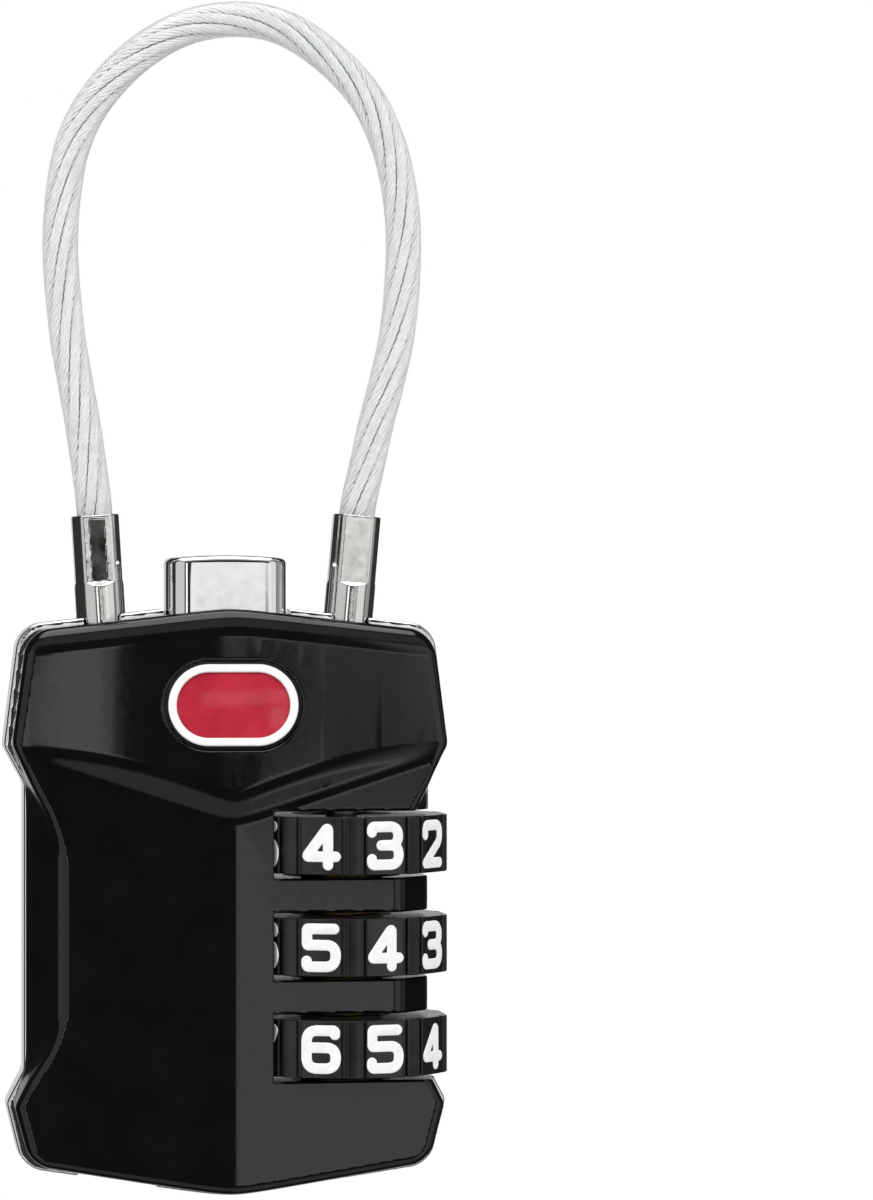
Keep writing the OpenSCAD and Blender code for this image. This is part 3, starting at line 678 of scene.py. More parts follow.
hollowSet = {
    "low": (-11.2, -3.7, 4.5),
    "right": 11.4,
    "back": 3.9,
    "underTop": 3.6,  # from the body's top down to the hollow's
    "dialRoom": 0.5,  # between the dials and the hollow beside them
    "frameRight": 0.4,  # the right side of that hollow in the frame
    "bandLeft": -1,
    "bridge": ((-11.2, -3.3), (11.4, 3.3), 2.3),  # corners, how far its top is down
    "bridgeRoom": ((-11.25, -3.35), (11.45, 3.35), 2.25),
    "web": ((-11.7, -3.9, 2.64), (-4.0, 3.9, 4.5)),  # the frame round the key lock
    "tunnel": 4.19,  # radius round the dials' bushings
    "tunnelUnder": 3.15,  # how far that runs below the lowest dial
    "spindle": (2.3, 16.2, 12),  # radius, and how far below the middle dial
    "bandOver": 0.45,  # from the top window to the band above it
    "button": (4.5, 2.4),  # half the hole's width and depth
    "key": (-8.0, 3.15),  # where its hole is, and its radius
    "sockets": ((1.92, 2, -2), (1.65, 6, 1.9)),  # radius, from and to below the top
    "socketX": 9.05,
}
columnRight = dialMiddle[0] - min(dialSize[0], dialSize[1]) / 2 - hollowSet["dialRoom"]
hollowTop = bodySet["height"] - hollowSet["underTop"]
windowsTop = dialMiddle[2] + dialPitch + windowHalf
bandLow = windowsTop + hollowSet["bandOver"]


def bodyOutline(x, z, inset, values=bodySet):
    # The body's outline in X and Z, this far inside the frame's own
    width, height = values["halfWidth"], values["height"]
    flush = min(inset, 0.05)
    top = math.tan(math.radians(values["topSlope"]))
    bottom = math.tan(math.radians(values["bottomSlope"]))
    corner, foot = width - 1.1, width - 1.35
    corners = [
        (0, height - inset),
        (corner - inset, height - corner * top - inset),
        (width - inset, height - 10.4),
        (width - 1.45 - flush, height - 13.1 - inset / 2),
        (width - 1.45 - flush, 9.4 + inset / 2),
        (width - 0.2 - inset, 7.0),
        (foot - inset, foot * bottom + inset),
        (0, inset),
    ]
    side = np.abs(x)
    lines = [edgeLine(side, z, a, b) for a, b in zip(corners, corners[1:])]
    _, upperSide, upperCant, waist, lowerCant, footSide, _ = lines
    soft = np.hypot(x, values["tipSoft"]) - 0.2 * values["tipSoft"]
    topLine = edgeLine(soft, z, *corners[:2])
    bottomLine = edgeLine(soft, z, *corners[-2:])
    neck = either(either(upperCant, waist, 0.12), lowerCant, 0.12)
    upper = both(topLine, upperSide, 1.6)
    lower = both(bottomLine, footSide, 1.3)
    return both(both(upper, lower), neck, 0.17)


def scoopPlanes(values):
    # One side's hollow waist at the front: its floor and its two ends
    width = values["halfWidth"]
    high, low = values["height"] - values["scoopUnder"], values["scoopLow"]
    (frontIn, frontY), (backIn, backY) = values["scoopFront"], values["scoopBack"]
    frontX, frontY, backX, backY = width - frontIn, -frontY, width - backIn, -backY
    highRun = (values["height"] - 10.4 - high) / (width - values["margin"] - frontX)
    lowRun = (low - 7.0) / (width - 0.2 - values["margin"] - frontX)
    a, b = (frontX, frontY, high), (backX, backY, values["height"] - 13.1)
    c, d = (frontX, frontY, low), (backX, backY, 9.4)
    floor = plane(a, b, (frontX, frontY, low), (1, -0.5, 0))
    top = plane(a, b, (frontX + 1, frontY, high + highRun), (1, 0, -1))
    bottom = plane(c, d, (frontX + 1, frontY, low - lowRun), (1, 0, 1))
    return floor, top, bottom


scoopFloor, scoopTop, scoopBottom = scoopPlanes(bodySet)


def scoop(x, y, z):
    # The hollow, for a cover whose outer side is at negative Y
    ends = both(-scoopTop(x, y, z), -scoopBottom(x, y, z), 0.3)
    return both(-scoopFloor(x, y, z), ends, 0.7)


def buttonHole(x, y, z):
    width, deep = hollowSet["button"]
    middle = bodySet["height"]
    return box(x, y, z, (-width, -deep, middle - 5), (width, deep, middle + 5))


def keyHole(x, y, z):
    middle, radius = hollowSet["key"]
    return rod(x - middle, y, z, radius, -1, 5.5)


def bridge(x, y, z, values):
    # The frame's bridge under the button, or the room for it in the covers
    low, high, down = values
    return box(x, y, z, (*low, hollowTop), (*high, bodySet["height"] - down))


def innerCuts(x, y, z):
    # The spaces inside the covers, as one shape
    low, right, back = hollowSet["low"], hollowSet["right"], hollowSet["back"]
    space = box(x, y, z, low, (columnRight, back, hollowTop))
    band = box(x, y, z, (columnRight - 1, low[1], bandLow), (right, back, hollowTop))
    lowest = dialMiddle[2] - dialPitch - dialSize[2] / 2 - hollowSet["tunnelUnder"]
    tunnel = rod(x - dialMiddle[0], y, z, hollowSet["tunnel"], lowest, windowsTop)
    room = bridge(x, y, z, hollowSet["bridgeRoom"])
    for part in (band, tunnel, buttonHole(x, y, z), keyHole(x, y, z), room):
        space = either(space, part)
    return space


def dialPockets(x, y, z):
    fromDials = [np.abs(z - dialMiddle[2] - dialPitch * k) for k in (-1, 0, 1)]
    slots = np.minimum.reduce(fromDials) - windowHalf
    return both(np.hypot(x - dialMiddle[0], y) - bodySet["pocket"], slots)


def ribZone(x, z):
    reach = dialPitch + windowHalf
    left = dialMiddle[0] - bodySet["ribLeft"]
    return both(left - x, span(z, dialMiddle[2] - reach, dialMiddle[2] + reach))


def frontSkin(x, y, z, values=bodySet):
    # The front's two facets, and the raised panel above its V
    width = values["halfWidth"] - values["margin"]
    soft = np.hypot(x, values["ridgeSoft"])
    panelSoft = np.hypot(x, values["panelSoft"])
    ridge, rise = values["ridgeY"], values["panelRise"]
    fall = (ridge - values["edgeY"]) / width
    lower = (-y - ridge + fall * soft) / math.hypot(1, fall)
    bow = (ridge + rise - values["edgeY"] - values["panelLift"] * width) / width**2
    upper = -y - ridge - rise + values["panelLift"] * panelSoft + bow * x**2
    height = values["height"]
    step = plane(
        (0, -ridge - rise, height - 14.3),
        (0, -ridge, height - 16.0),
        (width, -values["edgeY"], height - 10.8),
        (0, -1, -1),
    )
    slope = math.radians(values["topSlope"])
    topEdge = height - values["margin"] - math.tan(slope) * np.hypot(x, values["tipSoft"])
    fromTop = (z - topEdge) * math.cos(slope)
    bevel = (upper + 0.4 * (fromTop + values["bevelHeight"])) / math.hypot(1, 0.4)
    panel = both(upper, step(np.hypot(x, 0.7), y, z), 0.25)
    return both(either(lower, panel, 0.2), bevel, 0.16)


def coverShell(skin, side, x, y, z):
    # A cover with its common cuts; side is -1 for the front and 1 for the back
    skin = both(skin, bodyOutline(x, z, bodySet["margin"]), bodySet["edgeRound"])
    joint = either(bodySet["jointY"] - side * y, both(-side * y, ribZone(x, z)))
    shell = both(skin, joint, bodySet["jointEdge"])
    shell = without(shell, scoop(np.abs(x), -side * y, z), bodySet["scoopEdge"])
    shell = without(shell, dialPockets(x, y, z), bodySet["pocketEdge"])
    return without(shell, innerCuts(x, y, z))


def frontCover(x, y, z):
    width, tall, floor, edge = bodySet["badgeRecess"]
    badge = both(stadium(x, z - badgeMiddle[2], width, tall), y + floor)
    return without(coverShell(frontSkin(x, y, z), -1, x, y, z), badge, edge)


def backCover(x, y, z):
    shell = coverShell(y - bodySet["backY"], 1, x, y, z)
    radius, head, deep = bodySet["screwHole"]
    for middle in screwMiddles:
        reach = np.hypot(x - middle[0], z - middle[2])
        seat = both(reach - head, bodySet["backY"] - deep - y)
        shell = without(shell, either(reach - radius, seat), 0.1)
    return shell


def middleFrame(x, y, z):
    plate = both(bodyOutline(x, z, 0), np.abs(y) - bodySet["jointY"], bodySet["frameEdge"])
    plate = without(plate, both(ribZone(x, z), np.abs(y) - 5))
    plate = either(plate, bridge(x, y, z, hollowSet["bridge"]))
    plate = either(plate, box(x, y, z, *hollowSet["web"]))
    left, _, low = hollowSet["low"]
    space = box(x, y, z, (left, -5, low), (hollowSet["frameRight"], 5, hollowTop))
    bandLeft, right = hollowSet["bandLeft"], hollowSet["right"]
    band = box(x, y, z, (bandLeft, -5, bandLow), (right, 5, hollowTop))
    radius, start, end = hollowSet["spindle"]
    middleX, _, middleZ = dialMiddle
    spindle = rod(x - middleX, y, z, radius, middleZ - start, middleZ - end)
    parts = [band, spindle, buttonHole(x, y, z), keyHole(x, y, z)]
    top = bodySet["height"]
    for middle in (-hollowSet["socketX"], hollowSet["socketX"]):
        for radius, start, end in hollowSet["sockets"]:
            parts.append(rod(x - middle, y, z, radius, top - start, top - end))
    for part in parts:
        space = either(space, part)
    return without(plate, space, 0.1)


badgeLow, badgeHigh = boxOf("badge_rim")
badgeMiddle = (badgeLow + badgeHigh) / 2


def findScrews():
    # The middles of the screws' heads, from their own vertices
    mesh = frame["nodes"]["cover_screws"].data
    spots = np.array([v.co for v in mesh.vertices]) / mm
    middles = []
    for right in (-1, 1):
        for upper in (-1, 1):
            mine = spots[(spots[:, 0] * right > 0) & ((spots[:, 2] - 20) * upper > 0)]
            middles.append((mine.min(0) + mine.max(0)) / 2)
    return middles


screwMiddles = findScrews()


def addCase():
    deep = hollowSet["web"][1][1]
    for name, shape, slot, node, front, back in (
        ("frontCover", frontCover, "black_shell", "front_cover", bodySet["frontReach"], 0.0),
        ("backCover", backCover, "black_shell", "back_cover", 0.0, bodySet["backY"]),
        ("middleFrame", middleFrame, "chrome_frame", "middle_frame", -deep, deep),
    ):
        low, high = (frameLow[0], front, 0.0), (frameHigh[0], back, bodySet["height"])
        mesh = shapeMesh(name + "Shape", shape, low, high, bodySet["step"])
        addPiece(name, mesh, slot, "case", node)


addCase()
print("case made")

# Badge

badgeSet = {"rim": 0.6, "round": 0.14, "dome": 0.16, "step": 0.07}


def badgeRim(x, y, z):
    outer = stadium(x, z - badgeMiddle[2], badgeHigh[0] - badgeLow[0], badgeHigh[2] - badgeLow[2])
    ringShape = both(outer, -outer - badgeSet["rim"], badgeSet["round"])
    return both(ringShape, span(y, badgeLow[1], badgeHigh[1]), badgeSet["round"])


def badgeInlay(x, y, z):
    outer = stadium(x, z - badgeMiddle[2], badgeHigh[0] - badgeLow[0], badgeHigh[2] - badgeLow[2])
    inner = outer + badgeSet["rim"] - 0.02
    inward = np.clip(-inner / 2.35, 0, 1)
    swell = badgeSet["dome"] * (1 - (1 - inward) ** 2)
    return both(inner, span(y, badgeLow[1] + 0.24 - swell, badgeHigh[1]), 0.04)


def addBadge():
    for name, shape, slot, node in (
        ("badgeRim", badgeRim, "badge_silver", "badge_rim"),
        ("badgeInlay", badgeInlay, "red_enamel", "badge_inlay"),
    ):
        mesh = shapeMesh(name + "Shape", shape, badgeLow, badgeHigh, badgeSet["step"])
        addPiece(name, mesh, slot, "case", node)


addBadge()

# Button

buttonLow, buttonHigh = boxOf("push_button")
buttonSet = {
    "width": 8.8,
    "deep": 4.6,
    "corner": 1.7,
    "crown": 0.25,
    "topRound": 0.4,
    "flange": (5.2, 2.7, 1.2),  # half its width and depth, its thickness
    "flangeTop": 39.45,
    "stem": ((-3.0, -1.0), (-0.6, 1.0)),  # its corners in X and Y
    "step": 0.12,
}


def buttonShape(x, y, z):
    width, deep = buttonSet["width"] / 2, buttonSet["deep"] / 2
    plan = both(np.abs(x) - width, np.abs(y) - deep, buttonSet["corner"])
    crown = buttonHigh[2] - buttonSet["crown"] * (x / width) ** 2 - 0.1 * (y / deep) ** 2
    top = buttonSet["flangeTop"]
    cap = both(both(plan, z - crown, buttonSet["topRound"]), top - 0.1 - z)
    halfWidth, halfDeep, thick = buttonSet["flange"]
    flange = box(x, y, z, (-halfWidth, -halfDeep, top - thick), (halfWidth, halfDeep, top))
    low, high = buttonSet["stem"]
    stem = box(x, y, z, (*low, buttonLow[2]), (*high, top))
    return either(either(cap, flange), stem)


button = shapeMesh("buttonShape", buttonShape, buttonLow, buttonHigh, buttonSet["step"])
addPiece("pushButton", button, "button_chrome", "button", "push_button")
print("button made")

# Springs


def addSpring(name, node):
    # The spring's own shape, copied as a fixed mesh
    source = frame["nodes"][node]
    mesh = source.data.copy()
    mesh.transform(source.matrix_world)
    mesh.shade_smooth()
    spring = addPiece(name, mesh, "spring_steel", None, node)
    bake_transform(spring)


addSpring("buttonSpring", "button_spring")
addSpring("ejectorSpring", "ejector_spring")
print("springs made")

# Ferrules

ferruleSet = {
    "radius": 1.8,
    "height": 7.3,
    "foot": 0.6,
    "space": 9.05,
    "crimpLow": 2.1,
    "crimpY": 1.46,
    "bore": 1.3,
    "dentWide": 1.15,
    "dentDeep": 0.07,
    "seam": 0.075,
    "seamDeep": 0.14,
    "shoulder": 0.35,  # height of the step above the round foot
    "pinch": 0.08,  # how much the crimp narrows the sides
    "crimpEdge": 0.06,
    "endEdge": 0.12,
    "stud": 1.6,
    "studEdge": 0.3,
    "groove": (1.1, 1.1, 2.0),  # radius, and its two ends above the stud's tip
    "studBore": (0.8, 4.8),  # radius and depth, from the tip
    "captiveLean": 3.5,
    "freeLean": 5.0,
    "step": 0.075,
}
ferruleZ = bodySet["height"] - ferruleSet["space"] * math.tan(math.radians(6.5)) + 0.03


def sleeveShape(x, y, z, side, lean):
    # A crimped sleeve that leans outwards, with a seam down the lower part of its front
    turn = math.radians(lean)
    dx, dz = side * x - ferruleSet["space"], z - ferruleZ
    along = dx * math.sin(turn) + dz * math.cos(turn)
    across = dx * math.cos(turn) - dz * math.sin(turn)
    radius, top = ferruleSet["radius"], ferruleSet["height"]
    tube = np.hypot(across, y) - radius
    rise = np.clip((along - ferruleSet["crimpLow"]) / ferruleSet["shoulder"], 0, 1)
    flat = np.abs(y) - radius - 0.05 + rise * (radius + 0.05 - ferruleSet["crimpY"])
    tube = both(tube, flat, ferruleSet["crimpEdge"])
    pinch = np.abs(across) - radius - 0.05 + rise * (0.05 + ferruleSet["pinch"])
    tube = both(tube, pinch, ferruleSet["crimpEdge"])
    sleeve = both(tube, span(along, -ferruleSet["foot"], top), ferruleSet["endEdge"])
    bore = both(np.hypot(across, y) - ferruleSet["bore"], 1.3 - along)
    sleeve = without(sleeve, bore, 0.03)
    slit = both(np.abs(across) - ferruleSet["seam"], y + radius - ferruleSet["seamDeep"])
    slit = both(slit, span(along, -0.3, ferruleSet["crimpLow"] - 0.1))
    sleeve = without(sleeve, slit, 0.03)
    if side > 0:
        return sleeve
    dent = both(np.abs(across) - ferruleSet["dentWide"] / 2, ferruleSet["crimpLow"] + 0.4 - along)
    dent = both(dent, y + ferruleSet["crimpY"] - ferruleSet["dentDeep"])
    return without(sleeve, both(dent, along - top + 0.25, 0.2), 0.03)


def paintDent(mesh):
    # The dent's floor takes the second material, a darker plating
    turn = math.radians(ferruleSet["captiveLean"])
    deep = -ferruleSet["crimpY"] + ferruleSet["dentDeep"]
    for face in mesh.polygons:
        x, y, z = face.center / mm
        dx, dz = -x - ferruleSet["space"], z - ferruleZ
        across = dx * math.cos(turn) - dz * math.sin(turn)
        onFloor = abs(y - deep) < 0.03 and face.normal.y < -0.9
        if onFloor and abs(across) < ferruleSet["dentWide"] / 2:
            face.material_index = 1


def captiveFerrule(x, y, z):
    low, _ = boxOf("captive_ferrule")
    stem = rod(x + ferruleSet["space"], y, z, 1.1, low[2], ferruleZ)
    return either(sleeveShape(x, y, z, -1, ferruleSet["captiveLean"]), stem)


def freeFerrule(x, y, z):
    low, _ = boxOf("free_ferrule")
    bottom = low[2]
    reach = np.hypot(x - ferruleSet["space"], y)
    stud = span(z, bottom, ferruleZ)
    stud = both(reach - ferruleSet["stud"], stud, ferruleSet["studEdge"])
    radius, start, end = ferruleSet["groove"]
    stud = without(stud, both(radius - reach, span(z, bottom + start, bottom + end)), 0.05)
    radius, deep = ferruleSet["studBore"]
    stud = without(stud, both(reach - radius, z - bottom - deep), 0.05)
    return either(sleeveShape(x, y, z, 1, ferruleSet["freeLean"]), stud)


def addFerrules():
    for name, shape, body, node in (
        ("captiveFerrule", captiveFerrule, "case", "captive_ferrule"),
        ("freeFerrule", freeFerrule, "free_end", "free_ferrule"),
    ):
        mesh = shapeMesh(name + "Shape", shape, *boxOf(node), ferruleSet["step"])
        piece = addPiece(name, mesh, "ferrule_plated", body, node)
        if node == "captive_ferrule":
            piece.data.materials.append(darkDentPlating)
            paintDent(piece.data)


addFerrules()
print("ferrules made")

# Dials

dialSet = {
    "flats": 10,
    "drumAt": 7.2,  # from the axis to the bottoms of the grooves
    "flatAt": 7.52,  # from the axis to the numbers' flats
    "padWidth": 2.98,
    "padDeep": 0.7,
    "ribAt": 7.74,
    "ribWidth": 1.15,
    "ribDeep": 0.9,
    "bore": 3.6,
    "edge": 0.12,
    "digitHeight": 3.5,
    "digitWidth": 2.9,
    "stroke": 0.78,
    "print": 0.05,  # how far the digits stand off the flat
    "digitDeep": 0.12,  # half a digit's thickness
    "step": 0.075,
}


def drumMesh(values, thickness):
    # A ten-sided ring, rounded at its edges
    work = bmesh.new()
    corners = values["flats"]
    outer, inner = [], []
    for k in range(corners):
        turn = 2 * math.pi * (k + 0.5) / corners
        reach = values["drumAt"] / math.cos(math.pi / corners)
        outer.append((reach * math.cos(turn), reach * math.sin(turn)))
    steps = corners * 4
    for k in range(steps):
        turn = 2 * math.pi * (k + 2) / steps
        inner.append((values["bore"] * math.cos(turn), values["bore"] * math.sin(turn)))
    rings = []
    for z in (-thickness / 2, thickness / 2):
        rings.append(
            (
                [work.verts.new((x * mm, y * mm, z * mm)) for x, y in outer],
                [work.verts.new((x * mm, y * mm, z * mm)) for x, y in inner],
            )
        )
    for k in range(corners):
        j = (k + 1) % corners
        work.faces.new((rings[0][0][k], rings[0][0][j], rings[1][0][j], rings[1][0][k]))
    for k in range(steps):
        j = (k + 1) % steps
        work.faces.new((rings[1][1][k], rings[1][1][j], rings[0][1][j], rings[0][1][k]))
    for level in (0, 1):
        for k in range(corners):
            j = (k + 1) % corners
            around = [rings[level][1][(4 * k + i) % steps] for i in range(5)]
            work.faces.new([rings[level][0][k], *around, rings[level][0][j]])
    bmesh.ops.recalc_face_normals(work, faces=work.faces)
    rim = [e for e in work.edges if len(e.link_faces) == 2 and e.calc_face_angle() > 1.2]
    bmesh.ops.bevel(
        work, geom=rim, offset=values["edge"] * mm, segments=3, affect="EDGES", profile=0.5
    )
    mesh = bpy.data.meshes.new("drum")
    work.to_mesh(mesh)
    work.free()
    return mesh


def barTree(material):
    # Equal bars in a ring, joined to the mesh that comes in
    tree = bpy.data.node_groups.new("dialBars", "GeometryNodeTree")
    addSocket(tree, "Drum", "NodeSocketGeometry")
    ids = {"count": addSocket(tree, "count", "NodeSocketInt", 10)}
    for name in ("radius", "deep", "width", "height", "round", "turn"):
        ids[name] = addSocket(tree, name, "NodeSocketFloat", mm)
    tree.interface.new_socket("Dial", in_out="OUTPUT", socket_type="NodeSocketGeometry")
    w = Wiring(tree)
    given = w.add("NodeGroupInput").outputs
    plan = w.add(
        "GeometryNodeCurvePrimitiveQuadrilateral",
        {"Width": given["deep"], "Height": given["width"]},
    )
    soft = w.add(
        "GeometryNodeFilletCurve",
        {"Curve": plan.outputs["Curve"], "Radius": given["round"], "Count": 4},
        mode="POLY",
    )
    rail = w.add("GeometryNodeCurvePrimitiveLine", {"Start": (0, 0, 0)})
    half = w.math("MULTIPLY", given["height"], 0.5)
    ends = []
    for sign in (-1, 1):
        offset = w.add("ShaderNodeCombineXYZ", {"Z": w.math("MULTIPLY", half, sign)})
        ends.append(offset.outputs[0])
    tree.links.new(ends[0], rail.inputs["Start"])
    tree.links.new(ends[1], rail.inputs["End"])
    bar = w.add(
        "GeometryNodeCurveToMesh",
        {
            "Curve": rail.outputs["Curve"],
            "Profile Curve": soft.outputs["Curve"],
            "Fill Caps": True,
        },
    )
    ring = w.add("GeometryNodeMeshCircle", {"Vertices": given["count"], "Radius": given["radius"]})
    number = w.add("GeometryNodeInputIndex").outputs[0]
    share = w.math("DIVIDE", number, given["count"])
    turn = w.math("MULTIPLY", share, 2 * math.pi)
    rotation = w.add("ShaderNodeCombineXYZ", {"Z": turn})
    placed = w.add(
        "GeometryNodeInstanceOnPoints",
        {
            "Points": ring.outputs["Mesh"],
            "Instance": bar.outputs["Mesh"],
            "Rotation": rotation.outputs[0],
        },
    )
    start = w.add("ShaderNodeCombineXYZ", {"Z": given["turn"]})
    turned = w.add(
        "GeometryNodeTransform",
        {"Geometry": placed.outputs["Instances"], "Rotation": start.outputs[0]},
    )
    joined = w.add("GeometryNodeJoinGeometry")
    tree.links.new(turned.outputs["Geometry"], joined.inputs["Geometry"])
    tree.links.new(given["Drum"], joined.inputs["Geometry"])
    real = w.add("GeometryNodeRealizeInstances", {"Geometry": joined.outputs["Geometry"]})
    painted = w.add(
        "GeometryNodeSetMaterial", {"Geometry": real.outputs["Geometry"], "Material": material}
    )
    w.add("NodeGroupOutput", {0: painted.outputs["Geometry"]})
    return tree, ids


# Each digit's strokes in a box from -1 to 1 each way: its points and how round its corners are
digitStrokes = {
    0: [([(0, 1), (1, 1), (1, -1), (-1, -1), (-1, 1), (0, 1)], 0.85)],
    1: [([(-0.45, 0.62), (0.12, 1), (0.12, -1)], 0.1)],
    2: [([(-1, 0.5), (-1, 1), (1, 1), (1, 0.15), (-0.98, -1)], 0.8), ([(-0.98, -1), (1, -1)], 0)],
    3: [
        ([(-1, 0.72), (-1, 1), (0.95, 1), (0.95, 0.02), (-0.3, 0.02)], 0.75),
        ([(-0.3, 0.02), (1, 0.02), (1, -1), (-1, -1), (-1, -0.7)], 0.8),
    ],
    4: [([(0.48, -1), (0.48, 1), (-1, -0.56), (1, -0.56)], 0.1)],
    5: [
        ([(0.9, 1), (-0.97, 1), (-0.97, 0.14), (0.1, 0.14)], 0.1),
        ([(-0.3, 0.14), (1, 0.14), (1, -1), (-1, -1), (-1, -0.7)], 0.8),
    ],
    6: [
        ([(0.95, 0.8), (0.95, 1), (-1, 1), (-1, -1), (1, -1), (1, 0.1), (-0.3, 0.1)], 0.75),
        ([(-0.2, 0.1), (-1, 0.1), (-1, -0.5)], 0.35),
    ],
    7: [([(-1, 1), (1, 1), (-0.35, -1)], 0.1)],
    8: [
        ([(0, 0.08), (-0.95, 0.08), (-0.95, 1), (0.95, 1), (0.95, 0.08), (0, 0.08)], 0.6),
        ([(0, 0.08), (-1, 0.08), (-1, -1), (1, -1), (1, 0.08), (0, 0.08)], 0.65),
    ],
    9: [
        ([(-0.95, -0.8), (-0.95, -1), (1, -1), (1, 1), (-1, 1), (-1, -0.1), (0.3, -0.1)], 0.75),
        ([(0.2, -0.1), (1, -0.1), (1, 0.5)], 0.35),
    ],
}


def roundedPath(points, radius):
    # The path with each corner replaced by an arc
    points = [np.array(p, float) for p in points]
    path = [points[0]]
    for before, here, after in zip(points, points[1:], points[2:]):
        u, v = before - here, after - here
        lengthU, lengthV = np.linalg.norm(u), np.linalg.norm(v)
        u, v = u / lengthU, v / lengthV
        half = math.acos(max(-1, min(1, u @ v))) / 2
        tangent = min(radius / math.tan(half), 0.5 * lengthU, 0.5 * lengthV)
        for t in np.linspace(0, 1, 9):
            start, end = here + u * tangent, here + v * tangent
            path.append((1 - t) ** 2 * start + 2 * t * (1 - t) * here + t**2 * end)
    path.append(points[-1])
    return path


def digitMesh(number):
    half = np.array([dialSet["digitWidth"], dialSet["digitHeight"]]) / 2 - dialSet["stroke"] / 2
    deep = dialSet["digitDeep"]
    paths = []
    for points, softness in digitStrokes[number]:
        sized = [(x * half[0], z * half[1]) for x, z in points]
        paths.append(roundedPath(sized, softness * half[0]))

    def shape(x, y, z):
        best = None
        for path in paths:
            for a, b in zip(path, path[1:]):
                way = b - a
                length = way @ way
                if length < 1e-9:
                    continue
                t = np.clip(((x - a[0]) * way[0] + (z - a[1]) * way[1]) / length, 0, 1)
                far = np.hypot(x - a[0] - t * way[0], z - a[1] - t * way[1])
                best = far if best is None else np.minimum(best, far)
        return both(best - dialSet["stroke"] / 2, np.abs(y) - deep, 0.05)

    wide, high = half + dialSet["stroke"] / 2
    low, high = (-wide, -deep, -high), (wide, deep, high)
    return shapeMesh(f"digit{number}", shape, low, high, dialSet["step"])


def addDials():
    tree, ids = barTree(finishes["dial_black"])
    plain = drumMesh(dialSet, dialSize[2])
    for face, deep, width, turn in (
        (dialSet["ribAt"], dialSet["ribDeep"], dialSet["ribWidth"], math.pi / dialSet["flats"]),
        (dialSet["flatAt"], dialSet["padDeep"], dialSet["padWidth"], 0.0),
    ):
        sizes = {
            ids["count"]: dialSet["flats"],
            ids["radius"]: (face - deep / 2) * mm,
            ids["deep"]: deep * mm,
            ids["width"]: width * mm,
            ids["height"]: (dialSize[2] - 0.02) * mm,
            ids["round"]: 0.12 * mm,
            ids["turn"]: turn,
        }
        plain = bakeTree("dialBody", plain, tree, sizes)
    digits = {number: digitMesh(number) for number in range(10)}
    for dial in (1, 2, 3):
        low, high = boxOf(f"dial_{dial}")
        middle = np.array([dialMiddle[0], 0.0, (low[2] + high[2]) / 2])
        mesh = plain.copy()
        spots = np.empty(len(mesh.vertices) * 3, np.float32)
        mesh.vertices.foreach_get("co", spots)
        mesh.vertices.foreach_set("co", (spots.reshape(-1, 3) + middle * mm).ravel())
        piece = addPiece(f"dial{dial}", mesh, "dial_black", f"dial_{dial}", f"dial_{dial}")
        bevel = piece.modifiers.new("edges", "BEVEL")
        bevel.width = 0.07 * mm
        bevel.segments = 2
        bevel.limit_method = "ANGLE"
        bevel.angle_limit = math.radians(50)
        bevel.harden_normals = True
        points, faces, offset = [], [], 0
        for k in range(10):
            source = digits[(dial + k) % 10]
            turn = -2 * math.pi * k / 10
            outward = np.array([math.cos(turn), math.sin(turn), 0])
            sideways = np.array([-math.sin(turn), math.cos(turn), 0])
            flat = np.array([v.co for v in source.vertices]) / mm
            base = dialSet["flatAt"] + dialSet["print"] - dialSet["digitDeep"]
            lifted = base - flat[:, 1]
            place = middle + lifted[:, None] * outward + flat[:, :1] * sideways
            place[:, 2] += flat[:, 2]
            points += (place * mm).tolist()
            faces += [[offset + i for i in p.vertices] for p in source.polygons]
            offset = len(points)
        mesh = bpy.data.meshes.new(f"dialDigits{dial}")
        mesh.from_pydata(points, [], faces)
        mesh.shade_smooth()
        mesh.materials.append(digitWhite)
        addPiece(f"digits{dial}", mesh, "dial_black", f"dial_{dial}")
    print("dials made")


addDials()

# Light and background

studioSet = {
    "ambient": 0.62,
    "base": 0.03,
    # What shines back: from and to round the lock, from and to upwards (degrees), edge, brightness
    "boxes": [
        (-17.6, -10.6, -9, 9, 0.9, 1.5),
        (2.8, 9.2, -1.0, 5, 0.4, 0.92),
        (12.2, 20, -12, -2.2, 0.8, 1.1),
        (18, 34, -2.3, -0.3, (11, 0.7), 0.5),
        (9.2, 32, -0.25, 6, 0.2, 0.85),
        (30, 66, -40, 32, 7, 0.75),
        (-72, -25, -40, 32, 4, 0.6),
        (72, 96, -30, 30, 6, 0.3),
        (158, 182, -60, 25, 6, 0.6),
        (-182, -158, -60, 25, 6, 0.6),
        (-80, 80, 36, 52, 5, 0.4),
        (-182, 182, 60, 92, 6, 2.6),
        (-75, 75, -75, -32, 8, 0.45),
    ],
}


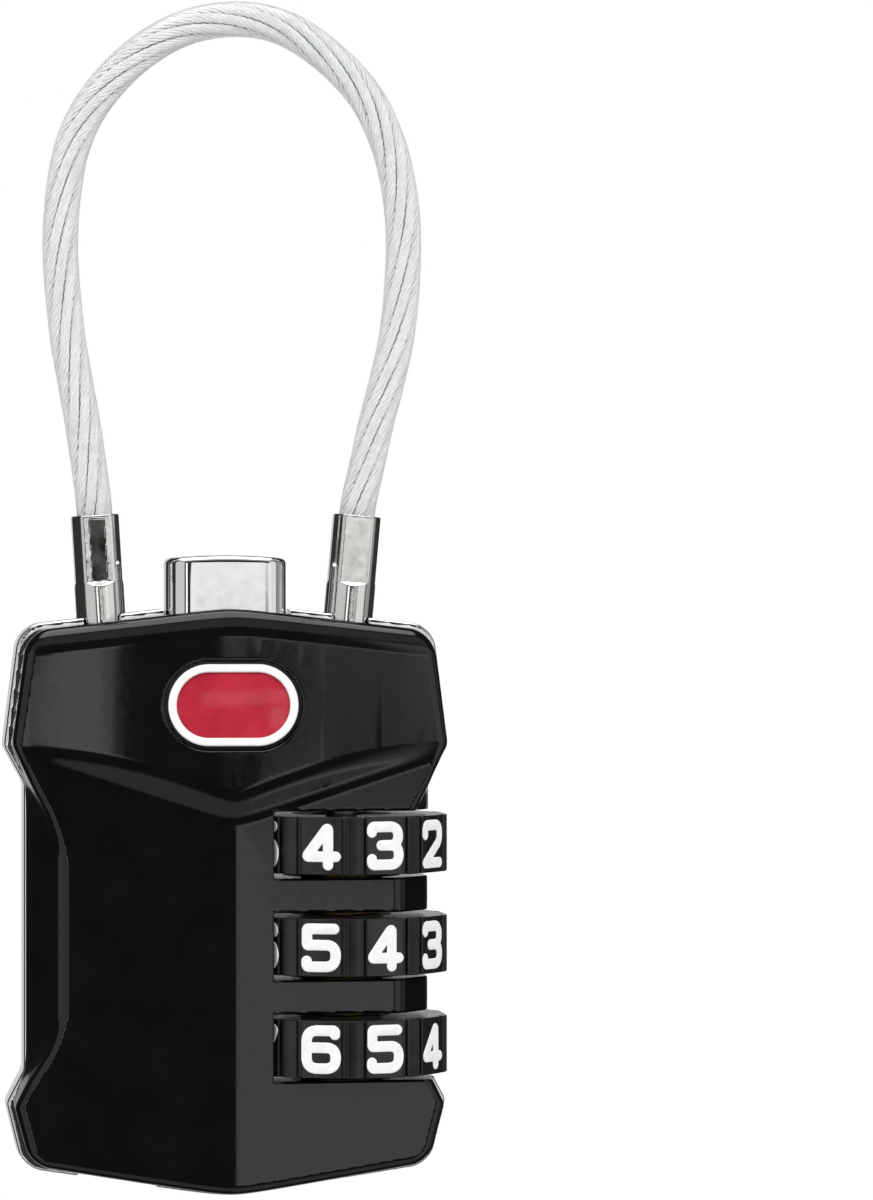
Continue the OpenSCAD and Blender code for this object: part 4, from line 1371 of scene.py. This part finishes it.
def addWorld(values):
    world = bpy.data.worlds.new("studio")
    bpy.context.scene.world = world
    world.use_nodes = True
    tree = world.node_tree
    nodes, links = tree.nodes, tree.links
    nodes.clear()
    place = nodes.new("ShaderNodeTexCoord")
    parts = nodes.new("ShaderNodeSeparateXYZ")
    links.new(place.outputs["Generated"], parts.inputs[0])

    def calc(operation, a, b=None):
        node = nodes.new("ShaderNodeMath")
        node.operation = operation
        for socket, value in zip(node.inputs, (a, b)):
            if value is None:
                continue
            if isinstance(value, bpy.types.NodeSocket):
                links.new(value, socket)
            else:
                socket.default_value = value
        return node.outputs[0]

    forward = calc("MULTIPLY", parts.outputs["Y"], -1.0)
    around = calc("MULTIPLY", calc("ARCTAN2", parts.outputs["X"], forward), 180 / math.pi)
    upward = calc("MULTIPLY", calc("ARCSINE", parts.outputs["Z"]), 180 / math.pi)

    def within(value, low, high, edge):
        sides = []
        for start, end in ((low - edge / 2, low + edge / 2), (high + edge / 2, high - edge / 2)):
            fade = nodes.new("ShaderNodeMapRange")
            fade.interpolation_type = "SMOOTHSTEP"
            fade.inputs["From Min"].default_value = start
            fade.inputs["From Max"].default_value = end
            links.new(value, fade.inputs["Value"])
            sides.append(fade.outputs["Result"])
        return calc("MULTIPLY", *sides)

    glow = None
    for left, right, low, high, edge, level in values["boxes"]:
        side, rise = edge if isinstance(edge, tuple) else (edge, edge)
        shine = calc(
            "MULTIPLY", within(around, left, right, side), within(upward, low, high, rise)
        )
        shine = calc("MULTIPLY", shine, level)
        glow = calc("ADD", shine, values["base"] if glow is None else glow)
    path = nodes.new("ShaderNodeLightPath")
    strengths = {}
    for name in ("ambient", "seen", "glossy"):
        strengths[name] = nodes.new("ShaderNodeBackground")
    strengths["ambient"].inputs["Strength"].default_value = values["ambient"]
    strengths["ambient"].inputs["Color"].default_value = (1, 1, 1, 1)
    strengths["seen"].inputs["Color"].default_value = (1, 1, 1, 1)
    strengths["glossy"].inputs["Color"].default_value = (1, 1, 1, 1)
    links.new(glow, strengths["glossy"].inputs["Strength"])
    first = nodes.new("ShaderNodeMixShader")
    links.new(path.outputs["Is Glossy Ray"], first.inputs["Fac"])
    links.new(strengths["ambient"].outputs[0], first.inputs[1])
    links.new(strengths["glossy"].outputs[0], first.inputs[2])
    straight = calc("MAXIMUM", path.outputs["Is Camera Ray"], path.outputs["Is Transmission Ray"])
    second = nodes.new("ShaderNodeMixShader")
    links.new(straight, second.inputs["Fac"])
    links.new(first.outputs[0], second.inputs[1])
    links.new(strengths["seen"].outputs[0], second.inputs[2])
    output = nodes.new("ShaderNodeOutputWorld")
    links.new(second.outputs[0], output.inputs["Surface"])


def addLamp(name, place, size, power):
    data = bpy.data.lights.new(name, "AREA")
    data.shape = "DISK"
    data.size = size
    data.energy = power
    lamp = bpy.data.objects.new(name, data)
    lamp.location = place
    target = np.array([0, 0, 0.04]) - np.array(place)
    lamp.rotation_euler = (
        math.atan2(math.hypot(target[0], target[1]), -target[2]),
        0,
        math.atan2(target[1], target[0]) - math.pi / 2,
    )
    lamp.visible_glossy = False
    bpy.context.scene.collection.objects.link(lamp)


addWorld(studioSet)
addLamp("keyLight", (0.5, -0.6, 0.65), 0.5, 5.5)
addLamp("fillLight", (-0.7, -0.45, 0.35), 0.6, 3.5)
bpy.context.scene.view_settings.view_transform = "Standard"
print("studio made")
